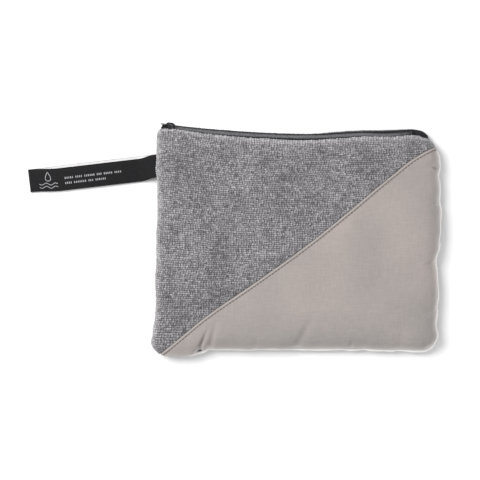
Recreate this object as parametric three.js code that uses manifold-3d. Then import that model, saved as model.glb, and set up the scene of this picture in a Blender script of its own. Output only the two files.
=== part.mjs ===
// A quick-dry towel folded inside its own zip pouch, with a ribbon loop at one side.
// The pouch lies on its back. Millimetres, +Z up.
// X runs along the zip, and Y from the pouch's bottom seam towards the zip.
// The origin is on the surface that the pouch lies on, under the middle of the pouch.
import * as THREE from "three";
import { mergeVertices } from "three/addons/utils/BufferGeometryUtils.js";
import Module from "manifold-3d";

const wasm = await Module();
wasm.setup();
const { lerp, clamp, smoothstep, degToRad } = THREE.MathUtils;

// ---- Driving dimensions ----

const gap = 0.3; // between neighbours that touch on the real object
const pouch = {
  left: -124.5,
  right: 122.3,
  bottom: -97,
  height: 19, // at the middle, with the towel inside
  seamHeight: 6.5, // where the front and the back meet
  seamGap: 1.4, // between their edges, for the seam's thread
  cloth: 1.2, // thickness of each panel
  frontCurve: 22, // how far in from the seam the front reaches its full height
  zipCurve: 14, // the same from the zip
  backCurve: 12, // how far in from the seam the back meets the surface below
  backZipCurve: 4, // the same from the zip
};
// How far along each side a corner's rounding starts.
const cornerLength = { bottomLeft: 15, bottomRight: 15, topLeft: 5, topRight: 26 };
// The front's two panels meet on this line, from the bottom left corner to the top right one.
const diagonal = [
  [-118, -97],
  [-106, -87],
  [-82, -67.2],
  [-44, -41],
  [6, -5],
  [43, 24.8],
  [79, 54.8],
  [104, 73.6],
  [118, 80.8],
];
const topstitchInset = 1.9;
const seamSlack = 0.5; // between the front panel's edge and the zip's tape
const backEdge = { out: 2.9, z: 2.6 }; // the back panel's edge at the zip

// The closed zip is an arc that sags into the pouch, and its face leans back from upright.
const zip = {
  arcRadius: 1000,
  lowestX: 17,
  lowestY: 89.3,
  height: 7.5, // of the chain's middle
  lean: degToRad(45), // of its face's normal above the horizon
  left: -118.4, // ends of the tapes
  right: 97.5,
  steps: 14,
  tapeStart: 2.5, // from the chain's middle to the tape's inner edge
  tapeShown: 4.4, // to where the panel covers the tape
  tapeEnd: 5.1,
  tape: 0.5, // thickness
};
const coil = { near: 0.5, far: 2.2, half: 0.7, left: -117.3, right: 95.7 };
const stop = { length: 1.2, half: 0.8, far: 2.3 };
const slider = {
  closedX: -113, // its middle when the zip is closed
  inside: 1, // from the chain's middle to each plate
  outside: 1.8,
  flangeNear: 2.65,
  flangeFar: 3.1,
  flangeClear: 0.5, // from the chain's middle to each flange's edge
  post: { from: -4, to: -2.6, half: 0.2 },
};
// Half the slider's width at places along it, from its wide end to its narrow end.
const sliderWidths = [[-4.2, 2.4], [-3.5, 3.3], [-1.5, 3.5], [1.5, 3.2], [3.6, 3.1], [4.2, 2.8]];
const bail = { half: 3.6, hole: 2.6, top: 5.5, holeTop: 4.5, width: 1.4 };
const tab = {
  length: 8.6,
  width: 4.1,
  thickness: 0.9,
  bar: 0.5, // from the hinge line to the window
  windowEnd: 4.1,
  windowWidth: 2.3,
  tilt: degToRad(20), // the slack in the bail lets the tab roll this far towards upright
};
const strap = {
  rootX: -125.8,
  rootY: 64.4,
  width: 20,
  length: 111,
  thickness: 0.4,
  slant: degToRad(6.7), // from square to the side seam
  rest: 0.1, // height of the lower layer's underside where it lies flat
  layerGap: 1.3,
  drop: 15, // the length over which it comes down from the seam
};
const towel = { length: 200, width: 158, bottom: -83, base: 1.8, leaf: 2.6, leaves: 5, leafGap: 0.4 };
const hemInset = 5;
const thread = 0.5; // diameter

// ---- Materials ----

const paint = (color, roughness, metalness = 0) =>
  new THREE.MeshStandardMaterial({ color, roughness, metalness });
const terryCloth = paint(0x868486, 0.95);
const smoothCloth = paint(0xb0a8a4, 0.8);
const towelCloth = paint(0x8d8b8d, 0.95);
const blackTape = paint(0x2b2b2d, 0.75);
const blackNylon = paint(0x3a3a3c, 0.4);
const darkMetal = paint(0x3c3c3f, 0.3, 0.9);
const ribbonCloth = paint(0x2c2b2d, 0.55);
const greyThread = paint(0x77757a, 0.7);
const taupeThread = paint(0x9a928f, 0.7);
const blackThread = paint(0x262628, 0.7);

// ---- Helpers ----

const part = new THREE.Group();

function add(name, geometry, material, parent = part) {
  const mesh = new THREE.Mesh(geometry, material);
  mesh.name = name;
  parent.add(mesh);
}

// A closed surface, turned to face outwards whichever way its triangles were listed.
function closed(points, triangles) {
  const [a, b, c] = [new THREE.Vector3(), new THREE.Vector3(), new THREE.Vector3()];
  let volume = 0;
  for (const [i, j, k] of triangles) {
    a.fromArray(points[i]);
    b.fromArray(points[j]);
    c.fromArray(points[k]);
    volume += a.dot(b.cross(c));
  }
  const facing = volume > 0 ? triangles : triangles.map(([i, j, k]) => [i, k, j]);
  const geometry = new THREE.BufferGeometry();
  geometry.setAttribute("position", new THREE.Float32BufferAttribute(points.flat(), 3));
  geometry.setIndex(facing.flat());
  return geometry;
}

// A closed sheet between two grids of points with the same rows and columns.
function sheetBetween(outer, inner) {
  const columns = outer[0].length;
  const rows = outer.length;
  const count = rows * columns;
  const at = (row, column) => row * columns + column;
  const triangles = [];
  const quad = (p, q, r, s) => triangles.push([p, q, r], [p, r, s]);
  for (let i = 0; i + 1 < rows; i++)
    for (let j = 0; j + 1 < columns; j++) {
      const corners = [at(i, j), at(i, j + 1), at(i + 1, j + 1), at(i + 1, j)];
      quad(...corners);
      quad(...corners.reverse().map((corner) => corner + count));
    }
  const wall = (p, q) => quad(q, p, p + count, q + count);
  for (let j = 0; j + 1 < columns; j++) {
    wall(at(0, j), at(0, j + 1));
    wall(at(rows - 1, j + 1), at(rows - 1, j));
  }
  for (let i = 0; i + 1 < rows; i++) {
    wall(at(i + 1, 0), at(i, 0));
    wall(at(i, columns - 1), at(i + 1, columns - 1));
  }
  return closed([...outer.flat(), ...inner.flat()], triangles);
}

// A closed solid through rings that all have one number of points, with flat ends.
function loft(rings, section) {
  const size = section.length;
  const flat = section.map(([x, y]) => new THREE.Vector2(x, y));
  const cap = THREE.ShapeUtils.triangulateShape(flat, []);
  const last = (rings.length - 1) * size;
  const turned = THREE.ShapeUtils.isClockWise(flat);
  const triangles = cap.map(([i, j, k]) => [i, k, j]);
  triangles.push(...cap.map((corners) => corners.map((corner) => corner + last)));
  for (let r = 0; r + 1 < rings.length; r++)
    for (let i = 0; i < size; i++) {
      const j = (i + 1) % size;
      const [from, to] = turned ? [j, i] : [i, j];
      const [p, q] = [r * size + from, r * size + to];
      triangles.push([p, q, q + size], [p, q + size, p + size]);
    }
  return closed(rings.flat(), triangles);
}

// A thin cord through points, for a thread.
function cord(points, diameter = thread, sides = 5) {
  const section = [];
  for (let i = 0; i < sides; i++) {
    const turn = (2 * Math.PI * i) / sides;
    section.push([(diameter / 2) * Math.cos(turn), (diameter / 2) * Math.sin(turn)]);
  }
  const line = points.map((point) => new THREE.Vector3(...point));
  const rings = line.map((point, i) => {
    const before = line[Math.max(i - 1, 0)];
    const after = line[Math.min(i + 1, line.length - 1)];
    const ahead = after.clone().sub(before).normalize();
    const side = new THREE.Vector3(0, 0, 1).cross(ahead).normalize();
    const up = ahead.clone().cross(side);
    return section.map(([a, b]) => point.clone().addScaledVector(side, a).addScaledVector(up, b).toArray());
  });
  return loft(rings, section);
}

function solid(geometry) {
  const bare = geometry.index ? geometry.toNonIndexed() : geometry.clone();
  for (const name of Object.keys(bare.attributes)) if (name !== "position") bare.deleteAttribute(name);
  const merged = mergeVertices(bare, 1e-4);
  const mesh = new wasm.Mesh({
    numProp: 3,
    vertProperties: merged.attributes.position.array,
    triVerts: new Uint32Array(merged.index.array),
  });
  return new wasm.Manifold(mesh);
}

function geometryFrom(made) {
  const mesh = made.getMesh();
  const geometry = new THREE.BufferGeometry();
  geometry.setAttribute("position", new THREE.BufferAttribute(new Float32Array(mesh.vertProperties), 3));
  geometry.setIndex(new THREE.BufferAttribute(new Uint32Array(mesh.triVerts), 1));
  return geometry;
}

const joined = (...geometries) => geometryFrom(geometries.map(solid).reduce((a, b) => a.add(b)));
const common = (first, second) => geometryFrom(solid(first).intersect(solid(second)));

// A box between two corners.
function block([x0, y0, z0], [x1, y1, z1]) {
  const box = new THREE.BoxGeometry(x1 - x0, y1 - y0, z1 - z0);
  return box.translate((x0 + x1) / 2, (y0 + y1) / 2, (z0 + z1) / 2);
}

const shapeOf = (outline) => new THREE.Shape(outline.map(([x, y]) => new THREE.Vector2(x, y)));

// A flat plate with an outline and windows, from one height to another.
function plate(outline, from, to, ...windows) {
  const shape = shapeOf(outline);
  shape.holes = windows.map(shapeOf);
  return new THREE.ExtrudeGeometry(shape, { depth: to - from, bevelEnabled: false }).translate(0, 0, from);
}

// ---- The zip's line ----

const zipCentre = [zip.lowestX, zip.lowestY + zip.arcRadius];
const zipAngle = (x) => Math.asin((x - zip.lowestX) / zip.arcRadius);

// `out` is how far the point is from the chain's middle, away from the pouch, and `z` its height.
function zipPlace(angle, out, z) {
  const radius = zip.arcRadius - out;
  return [zipCentre[0] + radius * Math.sin(angle), zipCentre[1] - radius * Math.cos(angle), z];
}

// On the zip's face: `across` runs from the chain's middle to the front panel, `proud` out of the face.
function onFace(across, proud) {
  const out = proud * Math.cos(zip.lean) - across * Math.sin(zip.lean);
  const up = proud * Math.sin(zip.lean) + across * Math.cos(zip.lean);
  return [out, zip.height + up];
}

// Sweeps a section of [out, z] points along the zip.
function alongZip(section, from, to, steps = zip.steps) {
  const rings = [];
  for (let i = 0; i <= steps; i++) {
    const angle = lerp(zipAngle(from), zipAngle(to), i / steps);
    rings.push(section.map(([out, z]) => zipPlace(angle, out, z)));
  }
  return loft(rings, section);
}

// ---- The pouch's panels ----

// How much of the top edge's place belongs to the zip: 1 along the tapes, and 0 at the side seams.
function zipShare(x) {
  const atLeft = smoothstep(x, pouch.left, zip.left - 1.6);
  const atRight = 1 - smoothstep(x, zip.right + 1.2, pouch.right);
  return atLeft * atRight;
}

const roundEdge = (distance, reach) => Math.sqrt(1 - (1 - clamp(distance / reach, 0, 1)) ** 2);
const softEdge = (distance, reach) => 1 - (1 - clamp(distance / reach, 0, 1)) ** 2;

// A point of the pouch's front or back. u runs from -1 at the left to 1 at the right, and v from -1
// at the bottom seam to 1 at the zip. `inset` is how deep the point lies under the outer face.
function pouchPoint(isFront, u, v, inset = 0) {
  const half = { x: (pouch.right - pouch.left) / 2 - inset, y: 0 };
  const middleX = (pouch.right + pouch.left) / 2;
  const x = middleX + half.x * u;
  const angle = zipAngle(x);
  const share = zipShare(x);
  const cover = zip.tape / 2 + seamSlack + pouch.cloth - inset;
  const [frontOut, frontZ] = onFace(zip.tapeShown, cover);
  const [out, edgeZ] = isFront ? [frontOut, frontZ] : [backEdge.out - inset, backEdge.z];
  const top = zipPlace(angle, lerp(-inset, out, share), 0)[1];
  const bottom = pouch.bottom + inset;
  half.y = (top - bottom) / 2;
  const y = (top + bottom) / 2 + half.y * v;

  // The corners are rounded by pulling both sides in.
  const corner = cornerLength[(v < 0 ? "bottom" : "top") + (u < 0 ? "Left" : "Right")] - inset;
  const sideGap = { x: half.x * (1 - Math.abs(u)), y: half.y * (1 - Math.abs(v)) };
  const near = clamp(1 - sideGap.x / corner, 0, 1) * clamp(1 - sideGap.y / corner, 0, 1);
  const pull = (corner / 4) * near ** 2;

  const seamZ = pouch.seamHeight + (isFront ? 1 : -1) * (pouch.seamGap / 2);
  const rim = lerp(seamZ, edgeZ, share * smoothstep(v, 0.4, 1));
  const full = isFront ? pouch.height - inset : inset;
  const [sideReach, zipReach] = isFront
    ? [pouch.frontCurve - inset, pouch.zipCurve]
    : [pouch.backCurve - inset, pouch.backZipCurve + (1 - share) * 8];
  const zipEdge = (isFront ? softEdge : roundEdge)(sideGap.y, zipReach);
  const rise = roundEdge(sideGap.x, sideReach) * (v < 0 ? roundEdge(sideGap.y, sideReach) : zipEdge);
  return [x - Math.sign(u) * pull, y - Math.sign(v) * pull, lerp(rim, full, rise)];
}

// Places across the pouch, close together where the panels curve into the seams. The even ones in
// the middle stop at `evenEnd`.
function places(length, startReach, endReach, evenEnd) {
  const bends = [0, 20, 40, 60, 90].map((turn) => 1 - Math.cos(degToRad(turn)));
  const start = bends.map((bend) => bend * startReach);
  const end = bends.map((bend) => length - bend * endReach).reverse();
  const middle = [];
  for (let i = 1; i <= 8; i++) middle.push(lerp(startReach, evenEnd, i / 8));
  return [...start, ...middle, ...end].map((distance) => (2 * distance) / length - 1);
}

function shell(isFront) {
  const reach = isFront ? pouch.frontCurve : pouch.backCurve;
  const zipReach = isFront ? pouch.zipCurve : pouch.backZipCurve;
  const [width, depth] = [pouch.right - pouch.left, zip.lowestY - pouch.bottom];
  const columns = places(width, reach, reach, zip.right - pouch.left);
  const rows = places(depth, reach, zipReach, depth - 2 * pouch.zipCurve);
  const grid = (inset) => rows.map((v) => columns.map((u) => pouchPoint(isFront, u, v, inset)));
  return sheetBetween(grid(0), grid(pouch.cloth));
}

// A point moved square to the diagonal, towards the terry panel.
const besideLine = (x, y, distance) => [x - distance * Math.SQRT1_2, y + distance * Math.SQRT1_2];

// The panel's share of the front, on one side of the diagonal.
function besideDiagonal(side) {
  const ends = [[-150, -129], [150, 104]];
  const line = [ends[0], ...diagonal, ends[1]].map(([x, y]) => besideLine(x, y, (side * gap) / 2));
  const corner = side > 0 ? [-150, 150] : [150, -129];
  return plate([...line, corner], -1, pouch.height + 1);
}

const front = shell(true);
add("front_terry_panel", common(front, besideDiagonal(1)), terryCloth);
add("front_smooth_panel", common(front, besideDiagonal(-1)), smoothCloth);
add("back_panel", shell(false), terryCloth);

// ---- Sewing threads ----

// The seam between the front and the back runs down one side, along the bottom and up the other.
const seamInset = 0.8;
const seamCorners = [[-1, 0.9], [-1, -0.7], [-1, -0.9], [-1, -1], [-0.9, -1], [-0.7, -1]];
const otherCorners = seamCorners.map(([u, v]) => [-u, v]).reverse();
const seamPoints = [];
for (const [u, v] of [...seamCorners, [0, -1], ...otherCorners]) {
  const [x, y] = pouchPoint(true, u, v, seamInset);
  seamPoints.push([x, y, pouch.seamHeight]);
}
add("side_seam_thread", cord(seamPoints), greyThread);

// The topstitch lies on the smooth panel beside the diagonal seam.
const frontAt = (x, y) => {
  let [u, v] = [0, 0];
  for (let i = 0; i < 40; i++) {
    const [foundX, foundY] = pouchPoint(true, u, v);
    u = clamp(u + (x - foundX) / 126, -1, 1);
    v = clamp(v + (y - foundY) / 94, -1, 1);
  }
  return pouchPoint(true, u, v)[2];
};
const seamLine = new THREE.SplineCurve(diagonal.map(([x, y]) => new THREE.Vector2(x, y)));
const stitchPoints = seamLine.getPoints(30).slice(2, -1).map((point) => {
  const [x, y] = besideLine(point.x, point.y, -topstitchInset);
  return [x, y, frontAt(x, y) + thread / 2 + 0.45];
});
add("diagonal_topstitch_thread", cord(stitchPoints), taupeThread);

// ---- The zip ----

// A tape's section from the chain's middle outwards, on a centre line of [out, z] points.
function tapeSection(line) {
  const face = line.map(([out, z], i) => {
    const [before, after] = [line[Math.max(i - 1, 0)], line[Math.min(i + 1, line.length - 1)]];
    const ahead = new THREE.Vector2(after[0] - before[0], after[1] - before[1]).normalize();
    return { out, z, side: [(-ahead.y * zip.tape) / 2, (ahead.x * zip.tape) / 2] };
  });
  const outer = face.map(({ out, z, side }) => [out + side[0], z + side[1]]);
  const inner = face.map(({ out, z, side }) => [out - side[0], z - side[1]]).reverse();
  return [...outer, ...inner];
}

const frontTapeLine = [onFace(zip.tapeStart, 0), onFace(zip.tapeEnd, 0)];
const backTapeLine = [onFace(-zip.tapeStart, 0), onFace(-3.8, 0), [2.95, 4.2], [2.8, 3.6], [2, 3.3]];
add("zip_front_tape", alongZip(tapeSection(frontTapeLine), zip.left, zip.right), blackTape);
add("zip_back_tape", alongZip(tapeSection(backTapeLine), zip.left, zip.right), blackTape);

// A rounded bar along the zip, between two distances from the chain's middle.
function faceBar(from, to, half, left, right, steps) {
  const cut = 0.4;
  const [low, high] = [Math.min(from, to), Math.max(from, to)];
  const corners = [[low, half - cut], [low + cut, half], [high - cut, half], [high, half - cut]];
  const mirrored = corners.map(([across, proud]) => [across, -proud]).reverse();
  const section = [...corners, ...mirrored].map(([across, proud]) => onFace(across, proud));
  return alongZip(section, left, right, steps);
}

for (const [name, side] of [["front", 1], ["back", -1]]) {
  const bar = (near, far, half, left, right, steps) =>
    faceBar(side * near, side * far, half, left, right, steps);
  add(`zip_${name}_coil`, bar(coil.near, coil.far, coil.half, coil.left, coil.right), blackNylon);
  const end = coil.left - gap;
  const clip = bar(coil.near, stop.far, stop.half, end - stop.length, end, 1);
  add(`zip_${name}_top_stop`, clip, darkMetal);
}
const stopFrom = coil.right + gap;
const bottomClip = faceBar(-stop.far, stop.far, stop.half, stopFrom, stopFrom + stop.length, 1);
add("zip_bottom_stop", bottomClip, darkMetal);

// A bar tack at each end of the zip closes the slot between the tapes.
for (const [name, x] of [["left", zip.left - 0.8], ["right", zip.right + 0.9]]) {
  const points = [-2.6, -1.3, 0, 1.3, 2.6].map((across) => zipPlace(zipAngle(x), ...onFace(across, 0)));
  add(`zip_${name}_end_tack`, cord(points), blackThread);
}

// ---- The slider ----

// A frame on the chain's middle: X along the zip, Z out of its face.
const sliderFrame = new THREE.Group();
sliderFrame.position.set(...zipPlace(zipAngle(slider.closedX), 0, zip.height));
sliderFrame.rotation.set(zip.lean - Math.PI / 2, 0, zipAngle(slider.closedX), "ZYX");
part.add(sliderFrame);

const mirroredOutline = (halves) => [
  ...halves.map(([x, half]) => [x, -half]),
  ...halves.map(([x, half]) => [x, half]).reverse(),
];
const sliderOutline = mirroredOutline(sliderWidths);
function flange(side, face) {
  const low = side > 0 ? slider.flangeNear : -slider.flangeFar;
  const high = low + slider.flangeFar - slider.flangeNear;
  const [from, to] = face > 0 ? [slider.flangeClear, 1.2] : [-1.2, -slider.flangeClear];
  return block([-2.5, low, from], [3.6, high, to]);
}
const sliderBody = joined(
  plate(sliderOutline, slider.inside, slider.outside),
  plate(sliderOutline, -slider.outside, -slider.inside),
  block([slider.post.from, -slider.post.half, -1.2], [slider.post.to, slider.post.half, 1.2]),
  flange(1, 1),
  flange(1, -1),
  flange(-1, 1),
  flange(-1, -1),
);
add("zip_slider_body", sliderBody, darkMetal, sliderFrame);

// The bail is an arch along the slider, and the pull tab's bar passes through it.
const bailFoot = slider.outside + 0.2;
const bailOutline = [
  [-bail.half, bailFoot], [-bail.half, bail.top - 1.4], [-bail.half + 1.2, bail.top],
  [bail.half - 1.2, bail.top], [bail.half, bail.top - 1.4], [bail.half, bailFoot],
  [bail.hole, bailFoot], [bail.hole, bail.holeTop - 0.6], [bail.hole - 0.7, bail.holeTop],
  [-bail.hole + 0.7, bail.holeTop], [-bail.hole, bail.holeTop - 0.6], [-bail.hole, bailFoot],
];
const bailSolid = plate(bailOutline, -bail.width / 2, bail.width / 2).rotateX(Math.PI / 2);
add("zip_slider_bail", bailSolid, darkMetal, sliderFrame);

// The tab turns about the slider's width, in the middle of the bail's hole. It lies over the slider's
// wide end, rolled a little towards upright.
const tabFrame = new THREE.Group();
tabFrame.position.set(0, 0, (slider.outside + bail.holeTop) / 2);
tabFrame.rotation.x = -tab.tilt;
sliderFrame.add(tabFrame);
const tabOutline = mirroredOutline([
  [-tab.length, 0.9], [-tab.length + 0.5, 1.7], [-tab.length + 1.4, tab.width / 2],
  [-0.1, tab.width / 2], [tab.bar, tab.width / 2 - 0.4],
]);
const tabWindow = mirroredOutline([[-tab.windowEnd, tab.windowWidth / 2], [-tab.bar, tab.windowWidth / 2]]);
const tabSolid = plate(tabOutline, -tab.thickness / 2, tab.thickness / 2, tabWindow);
add("zip_pull_tab", tabSolid, darkMetal, tabFrame);

// ---- The ribbon loop ----

// Heights of the two layers' middles, at a distance from the root.
const layerGap = strap.layerGap + strap.thickness;
const laid = strap.rest + strap.thickness / 2;
const rootHalf = (strap.thickness + gap) / 2;
const layerHeight = (side, along) => {
  const flat = side > 0 ? laid + layerGap : laid;
  return lerp(pouch.seamHeight + side * rootHalf, flat, smoothstep(along, 0, strap.drop));
};
const stations = [-3, 2, 4, 6, 8, 10, 12, 15, 30, 60, 90, strap.length - 3];
const layer = (side, offset) => stations.map((along) => [along, layerHeight(side, along) + offset]);
const foldOver = (offset) =>
  [75, 45, 15, -15, -45, -75].map((turn) => {
    const radius = layerGap / 2 + offset;
    const angle = degToRad(turn);
    return [strap.length - 2 + radius * Math.cos(angle), laid + layerGap / 2 + radius * Math.sin(angle)];
  });
const halfThick = strap.thickness / 2;
const ribbonOutline = [
  ...layer(1, halfThick), ...foldOver(halfThick), ...layer(-1, -halfThick).reverse(),
  ...layer(-1, halfThick), ...foldOver(-halfThick).reverse(), ...layer(1, -halfThick).reverse(),
];
const slanted = plate(ribbonOutline, -strap.width / 2, strap.width / 2);
const ahead = new THREE.Vector3(-Math.cos(strap.slant), -Math.sin(strap.slant), 0);
const upwards = new THREE.Vector3(0, 0, 1);
slanted.applyMatrix4(new THREE.Matrix4().makeBasis(ahead, upwards, ahead.clone().cross(upwards)));
slanted.translate(strap.rootX, strap.rootY, 0);
const outsideSeam = block([strap.rootX - 150, 0, -5], [strap.rootX, 100, pouch.height]);
add("strap_ribbon", common(slanted, outsideSeam), ribbonCloth);

const tackPoints = [-0.45, -0.15, 0.15, 0.45].map((share) => [
  pouch.left + 2.4,
  strap.rootY + share * strap.width,
  pouch.seamHeight,
]);
add("strap_tack_thread", cord(tackPoints), blackThread);

// ---- The folded towel ----

// The towel is folded to and fro, and this is its outline from the end: leaves joined at one edge
// after the other by round bends.
const pitch = towel.leaf + towel.leafGap;
const bend = (leaf, radius, end) =>
  [-90, -60, -30, 0, 30, 60, 90].map((turn) => {
    const angle = degToRad(turn);
    const y = end > 0 ? towel.width - pitch : pitch;
    const z = towel.base + (leaf + 1) * pitch - towel.leafGap / 2;
    return [y + end * radius * Math.cos(angle), z + radius * Math.sin(angle)];
  });
const rising = [];
const falling = [];
for (let leaf = 0; leaf + 1 < towel.leaves; leaf++) {
  const end = leaf % 2 ? -1 : 1;
  const [outside, inside] = end > 0 ? [rising, falling] : [falling, rising];
  outside.push(...bend(leaf, pitch - towel.leafGap / 2, end));
  inside.push(...bend(leaf, towel.leafGap / 2, end));
}
const topOfTowel = towel.base + towel.leaves * pitch - towel.leafGap;
const towelOutline = [
  [0.6, towel.base], ...rising, [towel.width - 0.6, topOfTowel],
  ...falling.reverse(), [0, towel.base + 0.6],
];
const towelSolid = plate(towelOutline, -towel.length / 2, towel.length / 2);
const [acrossAxis, upAxis, alongAxis] = [new THREE.Vector3(0, 1, 0), upwards, new THREE.Vector3(1, 0, 0)];
towelSolid.applyMatrix4(new THREE.Matrix4().makeBasis(acrossAxis, upAxis, alongAxis));
towelSolid.translate(0, towel.bottom, 0);
add("towel", towelSolid, towelCloth);

// The hem's stitching shows on the uppermost leaf, along its free edge and both ends.
const hemX = towel.length / 2 - hemInset;
const hemStart = towel.bottom + 2 * pitch;
const hemEnd = towel.bottom + towel.width - hemInset;
const hemRoute = [
  [-hemX, hemStart], [-hemX, hemEnd - 3], [-hemX + 3, hemEnd],
  [hemX - 3, hemEnd], [hemX, hemEnd - 3], [hemX, hemStart],
];
const hemPoints = hemRoute.map(([x, y]) => [x, y, topOfTowel + thread / 2 + gap]);
add("towel_hem_thread", cord(hemPoints), greyThread);

export default part;
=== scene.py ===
"""The looks of a quick-dry towel folded in its zip pouch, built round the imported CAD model.

Sizes here are in millimetres, in the CAD model's frame, and turn into metres as each mesh is made.
The pouch lies on its back: X runs along the zip, Y from the bottom seam to the zip, and Z upwards.
"""

import itertools
import math

import bpy
import bmesh
import numpy as np
from mathutils import Matrix, Vector


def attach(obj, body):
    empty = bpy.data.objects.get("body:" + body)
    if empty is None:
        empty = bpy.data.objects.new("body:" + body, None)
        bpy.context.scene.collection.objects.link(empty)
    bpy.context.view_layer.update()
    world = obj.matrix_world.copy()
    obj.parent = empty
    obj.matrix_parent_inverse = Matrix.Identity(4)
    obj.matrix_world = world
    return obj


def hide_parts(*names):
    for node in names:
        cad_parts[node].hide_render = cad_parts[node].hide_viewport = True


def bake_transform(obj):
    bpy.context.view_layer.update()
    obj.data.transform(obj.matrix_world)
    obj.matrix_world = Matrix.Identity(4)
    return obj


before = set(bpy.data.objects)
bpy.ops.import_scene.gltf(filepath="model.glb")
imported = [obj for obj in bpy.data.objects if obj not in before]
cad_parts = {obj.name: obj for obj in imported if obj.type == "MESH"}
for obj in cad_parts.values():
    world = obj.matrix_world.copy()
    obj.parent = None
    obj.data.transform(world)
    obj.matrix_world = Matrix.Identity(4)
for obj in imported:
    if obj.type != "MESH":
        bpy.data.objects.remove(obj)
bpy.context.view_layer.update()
MM = 0.001

# ---- Driving dimensions ----

LEFT, RIGHT, BOTTOM = -124.5, 122.3, -97.0
HEIGHT = 19.0
SEAM_HEIGHT = 6.5
SEAM_PARTING = 0.12  # half the gap that is left between the front and the back at the side seam
FRONT_CURVE, FRONT_ZIP_CURVE = 22.0, 14.0
BACK_CURVE, BACK_ZIP_CURVE = 12.0, 4.0
FRONT_FULLNESS, BACK_FULLNESS = 3.0, 2.0  # 2 is a round edge, and more is squarer
CORNERS = {"bottom": 13.0, "top_left": 9.5, "top_right": 28.0}  # radii of the rounded corners
NOTCH_X, NOTCH_DEPTH = -87.0, 2.6  # where a fold of the front lifts the bottom edge off its seam
TUCK = 3.0  # how far each seam allowance shows inwards from the seam
SEAM_VALLEY = 0.7  # how far the side seam pulls in
DIAGONAL = [
    (-118, -97), (-106, -87), (-82, -67.2), (-44, -41), (6, -5),
    (43, 24.8), (79, 54.8), (104, 73.6), (118, 80.8),
]

ZIP_RADIUS, ZIP_LOWEST_X, ZIP_LOWEST_Y, ZIP_HEIGHT = 1000.0, 17.0, 89.3, 7.5
ZIP_LEAN = math.radians(45)
ZIP_RISE = 1.6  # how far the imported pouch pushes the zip's middle right part out of its sewn arc
FAR_TAPE_REACH = 1.1  # how much further out the far tape lies where the chain is back on its arc
BACK_EDGE_REACH = 1.0  # and the back panel's edge
ZIP_LEFT, ZIP_RIGHT, ZIP_SEWN_RIGHT = -118.4, 97.5, 112.0
TAPE_THICKNESS = 0.34
BACK_EDGE_OUT, BACK_EDGE_Z = 3.1, 2.6
COIL_LEFT, COIL_RIGHT, COIL_PITCH, COIL_WIRE = -117.3, 95.7, 1.2, 0.25
SLIDER_POSTS = (-116.3, 88.2)  # where the slider's post is with the zip closed and open

ROOT_X, ROOT_Y = -125.8, 64.4
STRAP_LENGTH, STRAP_WIDTH, STRAP_THICKNESS = 111.0, 20.0, 0.4
STRAP_SLANT = math.radians(6.7)
STRAP_LOW, STRAP_HIGH, STRAP_DROP = 0.3, 2.0, 15.0

TOWEL_LENGTH, TOWEL_WIDTH, TOWEL_BOTTOM, TOWEL_BASE = 200.0, 158.0, -83.0, 1.8
TOWEL_LEAVES, TOWEL_PITCH, TOWEL_HALF_LEAF = 5, 3.0, 0.75

# ---- Numbers ----


def smoothstep(x, low, high):
    t = np.clip((x - low) / (high - low), 0, 1)
    return t * t * (3 - 2 * t)


def eased(x, knots):
    """A curve through (place, value) knots that is level at each of them."""
    result = np.full(np.shape(x), float(knots[0][1]))
    for (x0, y0), (x1, y1) in zip(knots, knots[1:]):
        result = result + (y1 - y0) * smoothstep(x, x0, x1)
    return result


def scattered(i, j, seed):
    """A repeatable number from 0 to 1 for each pair of whole numbers."""
    h = i.astype(np.uint32) * np.uint32(374761393) + j.astype(np.uint32) * np.uint32(668265263)
    h = h + np.uint32(seed * 974634777 & 0xFFFFFFFF)
    h = (h ^ (h >> np.uint32(13))) * np.uint32(1274126177)
    h = (h ^ (h >> np.uint32(16))) * np.uint32(2246822519)
    return ((h >> np.uint32(8)) & np.uint32(0xFFFF)) / 65535.0


def clouds(x, y, size, seed):
    """Smooth noise from -1 to 1, with features about `size` across."""
    i, j = np.floor(x / size).astype(np.int64), np.floor(y / size).astype(np.int64)
    fx, fy = smoothstep(x / size - i, 0, 1), smoothstep(y / size - j, 0, 1)
    total = np.zeros(np.shape(x))
    for di, dj in itertools.product((0, 1), repeat=2):
        weight = (fx if di else 1 - fx) * (fy if dj else 1 - fy)
        total = total + weight * scattered(i + di, j + dj, seed)
    return 2 * total - 1


def unit(vectors):
    return vectors / np.maximum(np.linalg.norm(vectors, axis=-1, keepdims=True), 1e-9)


# ---- Meshes ----


def make_mesh(name, points, faces, materials, attributes=None, face_materials=None):
    """A mesh object from points in millimetres and a list of arrays of faces with 3 or 4 corners."""
    mesh = bpy.data.meshes.new(name)
    mesh.vertices.add(len(points))
    mesh.vertices.foreach_set("co", (points * MM).astype(np.float32).ravel())
    corners = np.concatenate([f.ravel() for f in faces]).astype(np.int32)
    counts = np.concatenate([np.full(len(f), f.shape[1]) for f in faces])
    starts = np.concatenate([[0], np.cumsum(counts)[:-1]]).astype(np.int32)
    mesh.loops.add(len(corners))
    mesh.loops.foreach_set("vertex_index", corners)
    mesh.polygons.add(len(starts))
    mesh.polygons.foreach_set("loop_start", starts)
    for material in materials:
        mesh.materials.append(material)
    if face_materials is not None:
        mesh.polygons.foreach_set("material_index", face_materials.astype(np.int32))
    for key, values in (attributes or {}).items():
        layer = mesh.attributes.new(key, "FLOAT", "POINT")
        layer.data.foreach_set("value", np.asarray(values, np.float32).ravel())
    mesh.update(calc_edges=True)
    mesh.validate()
    mesh.polygons.foreach_set("use_smooth", np.ones(len(mesh.polygons), bool))
    piece = bpy.data.objects.new(name, mesh)
    bpy.context.scene.collection.objects.link(piece)
    return piece


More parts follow.
